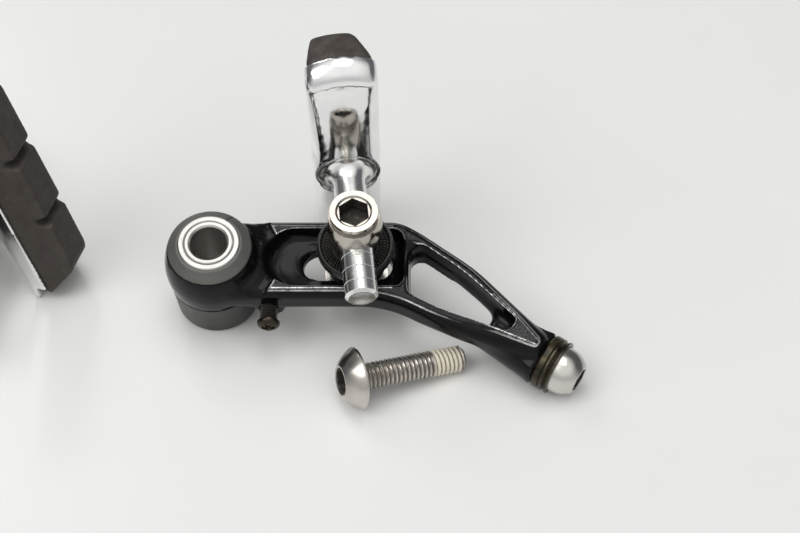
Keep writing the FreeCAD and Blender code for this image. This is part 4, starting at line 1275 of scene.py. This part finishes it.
@dataclass
class Clamp:
    """The eyebolt's clamp: its washers, the knurled one and the nut."""

    bottom: float = 20.8
    rim_d: float = 16.6
    height: float = 2.7
    chamfer: float = 0.5
    rim_share: float = 0.8
    hole_d: float = 6.4
    foot_d: float = 10.4
    mouth_d: float = 15.2
    dish_d: float = 9.8
    dish: float = 0.8
    teeth: int = 58
    tooth_steps: int = 6
    fineness: float = 0.17
    rows: float = 2.0
    tooth: float = 0.5
    face: Span = (0.02, 1.02)
    run_in: Span = (0.0, 0.12)
    slack: float = 0.01

    def build(self, bench: Bench, place: BrakePlace) -> None:
        """Dresses the clamp's nodes and makes the knurled washer.

        Args:
            bench: What makes the pieces.
            place: The brake's place.
        """
        about = place.about((CLAMP_X, 0.0, 0.0), UP)
        bench.dress(place.side, {"seat_washer": DARK_STEEL, "lower_washer": STAINLESS,
                                 "clamp_nut": STAINLESS, "eyebolt": NICKEL_STEEL}, about)
        rim, top, hole, floor = self.rim_d / 2.0, self.height, self.hole_d / 2.0, self.height - self.dish
        rings = [(hole, floor), (hole, 0.0), (self.foot_d / 2.0, 0.0), (rim, self.chamfer),
                 (rim, top - self.chamfer), (rim - self.chamfer * self.rim_share, top),
                 (self.mouth_d / 2.0, top), (self.dish_d / 2.0, floor), (hole, floor)]
        steps = self.teeth * self.tooth_steps
        washer = Turned(rings, steps, self.fineness, self.knurl, capped=False).mesh()
        x, y, z = washer[0].T
        raised = 1.0 - self.dip(np.arctan2(y, x), np.hypot(x, y))
        # Marks the crests that the finish paints bright, as wear and as painted glints.
        crest = np.where(z > floor - self.tooth - self.slack, raised, 0.0)
        bench.put(place.side.name_of("knurled_washer"), ".knurled", washer,
                  place.turned((CLAMP_X, 0.0, self.bottom), UP), place.side.name_of("clamp"),
                  KNURLED_STEEL, about, {"crest": crest})

    def across(self, radius: Array) -> tuple[Array, Array]:
        """Measures the dished face.

        Args:
            radius: Radii of points.

        Returns:
            Their share of the way from the dish's mouth to its floor, and which of them are between.
        """
        outer, inner = self.mouth_d / 2.0, self.dish_d / 2.0
        share = (outer - radius) / (outer - inner)
        return share, (share > self.face[0]) & (share < self.face[1])

    def dip(self, angle: Array, radius: Array) -> Array:
        """Finds how deep the knurl is cut.

        Args:
            angle: Angles of points.
            radius: Their radii.

        Returns:
            The share of the teeth's height that is cut away, 0 on the crests and 1 off the knurled face.
        """
        across, between = self.across(radius)
        turns = angle * self.teeth / TURN
        one, two = (np.mod(turns + across * rows, 1.0) for rows in (self.rows, -self.rows))
        deep = np.maximum(np.abs(one - 0.5), np.abs(two - 0.5)) * 2.0
        return np.where(between, deep, 1.0)

    def knurl(self, skin: Skin) -> Skin:
        """Cuts the grooves between the knurl's teeth into the washer's dished face.

        Args:
            skin: The plain washer.

        Returns:
            The knurled washer.
        """
        across, between = self.across(skin.radius)
        on_face = between & (skin.height > self.height - self.dish - self.slack)
        groove = self.dip(skin.angle, skin.radius) * self.tooth * fade(across, *self.run_in)
        return skin._replace(height=skin.height - np.where(on_face, groove, 0.0))


@dataclass
class Pad:
    """The pad's post, holder and rubber. A span tells where an effect starts and where it is whole."""

    post_d: float = 7.0
    post_height: float = 28.1
    post_steps: int = 96
    tail: float = 16.0
    reach: float = 18.0
    chamfer: float = 0.6
    socket_boss: float = 2.9
    socket_boss_d: float = 14.3
    socket_depth: float = 1.25
    socket_gap: float = 0.1
    socket_back: float = -0.5
    socket_steps: int = 120
    flange: float = 1.2
    flange_d: float = 12.6
    flange_ease: float = 0.25
    flare: float = 3.4
    flare_steps: int = 12
    spigot_d: float = 8.0
    spigot_end: float = 19.15
    ring_first: float = 3.0
    ring_pitch: float = 3.2
    ring_count: int = 4
    ring_depth: float = 0.14
    ring_profile: tuple[Span, ...] = ((-0.14, 0.0), (-0.06, 1.0), (0.06, 1.0), (0.14, 0.0))
    half_width: float = 7.5
    holder_step: float = 0.3
    holder_passes: int = 4
    off_socket: Span = (7.5, 9.0)
    shoulder_z: Span = (1.4, 0.4)
    shoulder_y: Span = (29.0, 26.0)
    shoulder_passes: int = 130
    flank_z: Span = (3.6, 2.8)
    flank_y: Span = (26.0, 24.0)
    flank_passes: int = 25
    hood_y: Span = (27.4, 27.75)
    hood_z: Span = (2.0, 0.0)
    hood_lip: float = 0.42
    back_y: Span = (27.0, 20.0)
    back_z: Span = (2.0, 1.0)
    back_crown: float = 0.5
    sunk_radius: float = 6.9
    sunk_z: float = -0.9
    holder_lift: float = 0.5
    rubber_step: float = 0.42
    rubber_passes: int = 3
    rubber_ease: int = 6
    rubber_lift: float = 1.4
    crown: float = 2.2
    crown_y: Span = (17.0, 30.0)

    def build(self, bench: Bench, brakes: Sequence[BrakePlace]) -> None:
        """Makes both pads, the left one as the mirror image of the right one.

        Args:
            bench: What makes the pieces.
            brakes: The places of the right and the left brake.
        """
        holder, rubber = self.holder(brakes[0]).mesh(), self.rubber(brakes[0]).mesh()
        socket = Turned(self.socket_rings(), self.socket_steps, capped=False).mesh()
        post = Turned(self.post_rings(), self.post_steps).mesh()
        for brake in brakes:
            place, name_of = self.pad_place(brake), brake.side.name_of
            for node, suffix, shape, finish in (("pad_holder", ".polished", holder, POLISHED_ALUMINIUM),
                                                ("pad_holder", ".socket", socket, POLISHED_ALUMINIUM),
                                                ("brake_pad", ".moulded", rubber, PAD_RUBBER)):
                bench.put(name_of(node), suffix, shape, place, name_of("pad"), finish)
            bench.dress(brake.side, {"pad_screw": DARK_STEEL})
            axis = (CLAMP_X, 0.0, self.post_height), tuple(self.post_way(brake))
            bench.put(name_of("pad_post"), ".ringed", post, brake.turned(*axis), name_of("post"),
                      TURNED_ALUMINIUM, brake.about(*axis))

    def post_way(self, brake: BrakePlace) -> Vector:
        """Gives the post's direction towards the pad, in the brake's own frame."""
        axis = Vector(joint_of(brake.side, "post_slide")["axis"])
        return (brake.matrix.to_3x3().inverted() @ axis).normalized()

    def pad_place(self, brake: BrakePlace) -> Matrix:
        """Finds where a pad lies.

        Args:
            brake: The brake's place.

        Returns:
            The matrix from the pad's own millimetres, y up it and z towards the rim, to the pair's frame.
        """
        way, up = self.post_way(brake), Vector(UP)
        turn = Matrix((up.cross(way), up, way)).transposed().to_4x4()
        centre = Vector((CLAMP_X, 0.0, self.post_height)) + way * self.reach
        return brake.matrix @ Matrix.Translation(centre) @ turn

    def holder(self, right: BrakePlace) -> EvenMesh:
        """Makes the holder with its rounded shoulders and its hood, sunk where the socket's ring goes.

        Args:
            right: The right brake's place.

        Returns:
            The holder.
        """
        shape = EvenMesh.of(Side.RIGHT.name_of("pad_holder"), self.holder_step, self.pad_place(right))
        shape.settle(self.holder_passes)
        x, y, z = shape.points.T
        plain = fade(np.hypot(x, y), *self.off_socket)
        shape.ease(self.shoulder_passes, plain * fade(z, *self.shoulder_z) * fade(y, *self.shoulder_y))
        x, y, z = shape.points.T
        shape.ease(self.flank_passes, plain * fade(z, *self.flank_z) * fade(y, *self.flank_y))
        x, y, z = shape.points.T
        z -= self.hood_lip * fade(y, *self.hood_y) * fade(z, *self.hood_z)
        bowed = smooth(fade(np.abs(y), *self.back_y)) * np.clip(1.0 - (x / self.half_width) ** 2, 0.0, 1.0)
        z -= self.back_crown * bowed * fade(z, *self.back_z)
        inside = np.hypot(x, y) < self.sunk_radius
        z[inside] = np.maximum(z[inside], self.sunk_z)
        self.arch(shape, self.holder_lift)
        return shape

    def rubber(self, right: BrakePlace) -> EvenMesh:
        """Makes the rubber with eased edges.

        Args:
            right: The right brake's place.

        Returns:
            The rubber.
        """
        shape = EvenMesh.of(Side.RIGHT.name_of("brake_pad"), self.rubber_step, self.pad_place(right))
        shape.settle(self.rubber_passes)
        shape.ease(self.rubber_ease, np.ones(len(shape.points)))
        self.arch(shape, self.rubber_lift)
        return shape

    def arch(self, shape: EvenMesh, lift: float) -> None:
        """Rounds the top end of a pad piece up in its middle and down towards its two sides."""
        x, y, _ = shape.points.T
        y += (lift - self.crown * (x / self.half_width) ** 2) * smooth(fade(y, *self.crown_y))

    def socket_rings(self) -> list[Span]:
        """Draws the ring round the post's flange and the socket's floor.

        Returns:
            The rings.
        """
        inner, outer = self.flange_d / 2.0 + self.socket_gap, self.socket_boss_d / 2.0 + 0.07
        face, floor = -self.socket_boss - 0.02, -self.socket_boss + self.socket_depth + 0.01
        hole, back = self.spigot_d / 2.0 + self.socket_gap, self.socket_back
        return [(hole, floor), (inner, floor), (inner, face + 0.2), (inner + 0.06, face + 0.06),
                (inner + 0.2, face), (outer - 0.3, face), (outer - 0.08, face + 0.08), (outer, face + 0.3),
                (outer, back), (hole, back), (hole, floor)]

    def post_rings(self) -> list[Span]:
        """Draws the post from its tail to its spigot, with the engraved rings.

        Returns:
            The rings.
        """
        shaft, flange, spigot = self.post_d / 2.0, self.flange_d / 2.0, self.spigot_d / 2.0
        back = self.reach - self.socket_boss + self.socket_depth - 0.05
        tail, top = -self.tail, back - self.flange
        rings = [(TIP, tail + 0.2), (shaft - 1.5, tail + 0.12), (shaft - 1.0, tail),
                 (shaft - self.chamfer, tail), (shaft - 0.15, tail + self.chamfer - 0.12),
                 (shaft, tail + self.chamfer)]
        for number in range(self.ring_count):
            height = tail + self.ring_first + number * self.ring_pitch
            rings += [(shaft - self.ring_depth * deep, height + off) for off, deep in self.ring_profile]
        for step in range(self.flare_steps + 1):
            turn = step / self.flare_steps * math.pi / 2.0
            rings.append((shaft + (flange - self.flange_ease - shaft) * (1.0 - math.cos(turn)),
                          top - self.flare + self.flare * math.sin(turn)))
        return rings + [(flange - 0.05, top + 0.08), (flange, top + self.flange_ease), (flange, back),
                        (spigot, back), (spigot, self.spigot_end), (TIP, self.spigot_end)]


@dataclass
class CableAnchor:
    """The rings and the domed bolt at the arm's end."""

    height: float = 11.0

    def build(self, bench: Bench, place: BrakePlace) -> None:
        """Dresses the anchor's nodes."""
        about = place.about((*ARM_END, self.height), (math.cos(ARM_ANGLE), -math.sin(ARM_ANGLE), 0.0))
        bench.dress(place.side, {"anchor_inner_ring": DIRTY_STEEL, "anchor_outer_ring": DIRTY_STEEL,
                                 "anchor_bolt": STAINLESS}, about)


@dataclass
class MountingBolt:
    """The bolt that holds a brake to its boss, lying on the table."""

    x: float = 32.4
    y: float = -28.5
    turn: float = math.radians(21.1)
    steps: int = 72
    fineness: float = 0.12
    shank_d: float = 5.9
    length: float = 24.4
    point: float = 0.8
    head_d: float = 13.5
    head_rim: float = 0.6
    head: float = 4.1
    head_flat: float = 7.0
    head_bow: float = 13.5
    head_steps: int = 12
    socket: float = 5.0
    socket_depth: float = 3.0
    thread: Thread = Thread(0.6, 24.2, 1.0, 0.5)

    def build(self, bench: Bench, brakes: Sequence[BrakePlace]) -> None:
        """Makes both bolts, the left one as the mirror image of the right one.

        Args:
            bench: What makes the pieces.
            brakes: The places of the right and the left brake.
        """
        shape = Turned(self.rings(), self.steps, self.fineness, self.thread.relief).mesh()
        right = brakes[0].matrix
        for brake in brakes:
            place = brake.matrix @ right.inverted() @ self.lying(right)
            axis = along(place.to_translation(), place.to_3x3() @ Vector(UP))
            piece = bench.put(brake.side.name_of("mounting_bolt"), ".threaded", shape, place, "hubs",
                              LOCKED_STAINLESS, axis)
            self.thread.mark_roots(piece, axis, self.shank_d / 2.0)

    def rings(self) -> list[Sequence[float]]:
        """Draws the bolt from its tip over its bowed head into the hexagon socket.

        Returns:
            The rings, z towards the tip.
        """
        shank, head, hexagon = self.shank_d / 2.0, self.head_d / 2.0, self.socket / 2.0
        rings: list[Sequence[float]] = [
            (TIP, self.length), (shank - self.point, self.length), (shank, self.length - self.point),
            (shank, 0.0), (head - 0.1, 0.0), (head, -0.12)]
        chord = Vector((self.head_flat / 2.0 - head, self.head_rim - self.head))
        bow = chord.length_squared / (2.0 * self.head_bow)
        out = Vector((-chord.y, chord.x)).normalized()
        for step in range(self.head_steps + 1):
            share = step / self.head_steps
            rise = share * (1.0 - share) * bow
            rings.append((head + chord.x * share + abs(out.x) * rise,
                          -self.head_rim + chord.y * share - abs(out.y) * rise))
        mouth, floor = hexagon / math.cos(math.pi / 6.0), -self.head + self.socket_depth
        return rings + [(mouth + 0.3, -self.head), (mouth + 0.05, -self.head + 0.2),
                        (hexagon, -self.head + 0.3, True), (hexagon, floor, True), (TIP, floor + 0.5)]

    def lying(self, right: Matrix) -> Matrix:
        """Finds where the right bolt lies, on its head's rim and its tip.

        Args:
            right: The right brake's matrix.

        Returns:
            The matrix from the bolt's own millimetres to the pair's frame.
        """
        head, tip = self.head_d / 2.0, self.shank_d / 2.0
        slope = math.atan2(head - tip, self.length - self.point)
        foot, flat = right.to_translation(), math.cos(slope)
        point = Vector((foot.x + self.x * MM, foot.y + self.y * MM, head * flat * MM))
        way = Vector((flat * math.cos(self.turn), flat * math.sin(self.turn), -math.sin(slope)))
        return along(point, way) @ Matrix.Scale(MM, 4)


# Table, light and camera


class Panel(NamedTuple):
    """A soft light panel, in metres and watts."""

    name: str
    place: Triple
    width: float
    depth: float
    power: float


@dataclass
class Studio:
    """The pale table, the soft light over it and the camera."""

    table_tone: Triple = (0.83, 0.83, 0.82)
    table_shade: float = 0.975
    table_size: float = 3.0
    table_drop: float = 0.00002
    table_gloss: Span = (0.17, 0.24)
    table_specular: float = 0.4
    cloud_span: Span = (0.3, 0.7)
    panels: tuple[Panel, ...] = (
        Panel("key", (-0.8, -0.5, 1.2), 0.9, 0.8, 5.9), Panel("top", (0.1, 0.0, 1.4), 0.9, 0.7, 4.2),
        Panel("rim", (-0.6, 0.9, 1.1), 0.7, 0.5, 2.6))
    panel_tone: Triple = (1.0, 0.995, 0.985)
    panel_aim: Triple = (0.0, 0.0, 0.01)
    front_tone: Triple = (0.6, 0.6, 0.6)
    wall_tone: Triple = (0.13, 0.133, 0.14)
    wall_span: Span = (-0.75, -0.15)
    ceiling_tone: Triple = (0.98, 0.98, 0.97)
    ceiling_span: Span = (0.55, 0.9)
    ceiling_lean: float = 0.35
    camera_place: Triple = (0.05094, -0.26449, 0.27416)
    camera_way: Triple = (-0.0090, 0.6869, -0.7268)
    camera_right: Triple = (0.9999, 0.0, -0.0124)
    focal: float = 72.81
    sensor: float = 36.0
    clip_start: float = 0.01

    def build(self) -> None:
        """Sets up the whole stage."""
        for step in (self.build_table, self.build_lights, self.build_world, self.build_camera):
            step()
        bpy.context.scene.view_settings.view_transform = "Standard"

    def stand(self, name: str, data: Any) -> bpy.types.Object:
        """Adds an object to the scene.

        Args:
            name: Its name.
            data: Its mesh, light or camera.

        Returns:
            The object.
        """
        thing = bpy.data.objects.new(name, data)
        bpy.context.scene.collection.objects.link(thing)
        return thing

    def build_table(self) -> None:
        """Lays the table top."""
        half = self.table_size / 2.0
        mesh = bpy.data.meshes.new("table")
        corners = [(-half, -half, 0.0), (half, -half, 0.0), (half, half, 0.0), (-half, half, 0.0)]
        mesh.from_pydata(corners, [], [(0, 1, 2, 3)])
        table = self.stand("table", mesh)
        table.location.z = -self.table_drop
        material = bpy.data.materials.new("table_top")
        material.use_nodes = True
        nodes = Nodes(material.node_tree)
        place = nodes.add("TexCoord").outputs["Object"]
        cloud = nodes.spread(nodes.noise(place, 14.0, 4.0), *self.cloud_span)
        darker = tuple(tone * self.table_shade for tone in self.table_tone)
        gloss = nodes.spread(nodes.noise(place, 60.0, 3.0), *self.cloud_span, *self.table_gloss)
        shader = {"Base Color": nodes.mix(cloud, self.table_tone, darker), "Roughness": gloss,
                  "Specular IOR Level": self.table_specular}
        for name, value in shader.items():
            nodes.feed(value, material.node_tree.nodes["Principled BSDF"].inputs[name])
        mesh.materials.append(material)

    def build_lights(self) -> None:
        """Hangs the soft panels."""
        for panel in self.panels:
            lamp = bpy.data.lights.new(panel.name, "AREA")
            lamp.shape = "RECTANGLE"
            lamp.size, lamp.size_y = panel.width, panel.depth
            lamp.energy = panel.power
            lamp.color = self.panel_tone
            hung = self.stand(panel.name, lamp)
            hung.location = panel.place
            aim = Vector(self.panel_aim) - Vector(panel.place)
            hung.rotation_euler = aim.to_track_quat("-Z", "Y").to_euler()

    def build_world(self) -> None:
        """Lights the room round the table, paler to the camera than to the metal."""
        world = bpy.data.worlds.new("room")
        bpy.context.scene.world = world
        world.use_nodes = True
        nodes = Nodes(world.node_tree)
        _, y, z = nodes.add("SeparateXYZ", {0: nodes.add("TexCoord").outputs["Generated"]}).outputs
        walls = nodes.mix(nodes.spread(y, *self.wall_span), self.front_tone, self.wall_tone)
        overhead = nodes.math("SUBTRACT", z, nodes.times(y, self.ceiling_lean))
        room = nodes.mix(nodes.spread(overhead, *self.ceiling_span), walls, self.ceiling_tone)
        seen = nodes.add("LightPath").outputs["Is Camera Ray"]
        background = world.node_tree.nodes["Background"].inputs
        nodes.feed(nodes.mix(seen, room, self.table_tone), background["Color"])
        nodes.feed(1.0, background["Strength"])

    def build_camera(self) -> None:
        """Stands the camera where the pair is seen from."""
        right, way = Vector(self.camera_right).normalized(), Vector(self.camera_way).normalized()
        turn = Matrix((right, right.cross(way).normalized(), -way)).transposed().to_4x4()
        lens = bpy.data.cameras.new("camera")
        lens.lens, lens.sensor_width, lens.clip_start = self.focal, self.sensor, self.clip_start
        camera = self.stand("camera", lens)
        camera.matrix_world = Matrix.Translation(self.camera_place) @ turn
        bpy.context.scene.camera = camera


def main() -> None:
    """Builds and dresses the pair of brakes on its table."""
    logging.basicConfig(level=logging.INFO, format="%(name)s: %(message)s")
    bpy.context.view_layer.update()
    bench = Bench()
    brakes = [BrakePlace.read(side) for side in Side]
    Arm().build(bench, brakes)
    Pad().build(bench, brakes)
    for place in brakes:
        Pivot().build(bench, place)
        Clamp().build(bench, place)
        CableAnchor().build(bench, place)
    MountingBolt().build(bench, brakes)
    Studio().build()


if __name__ == "__main__":
    main()
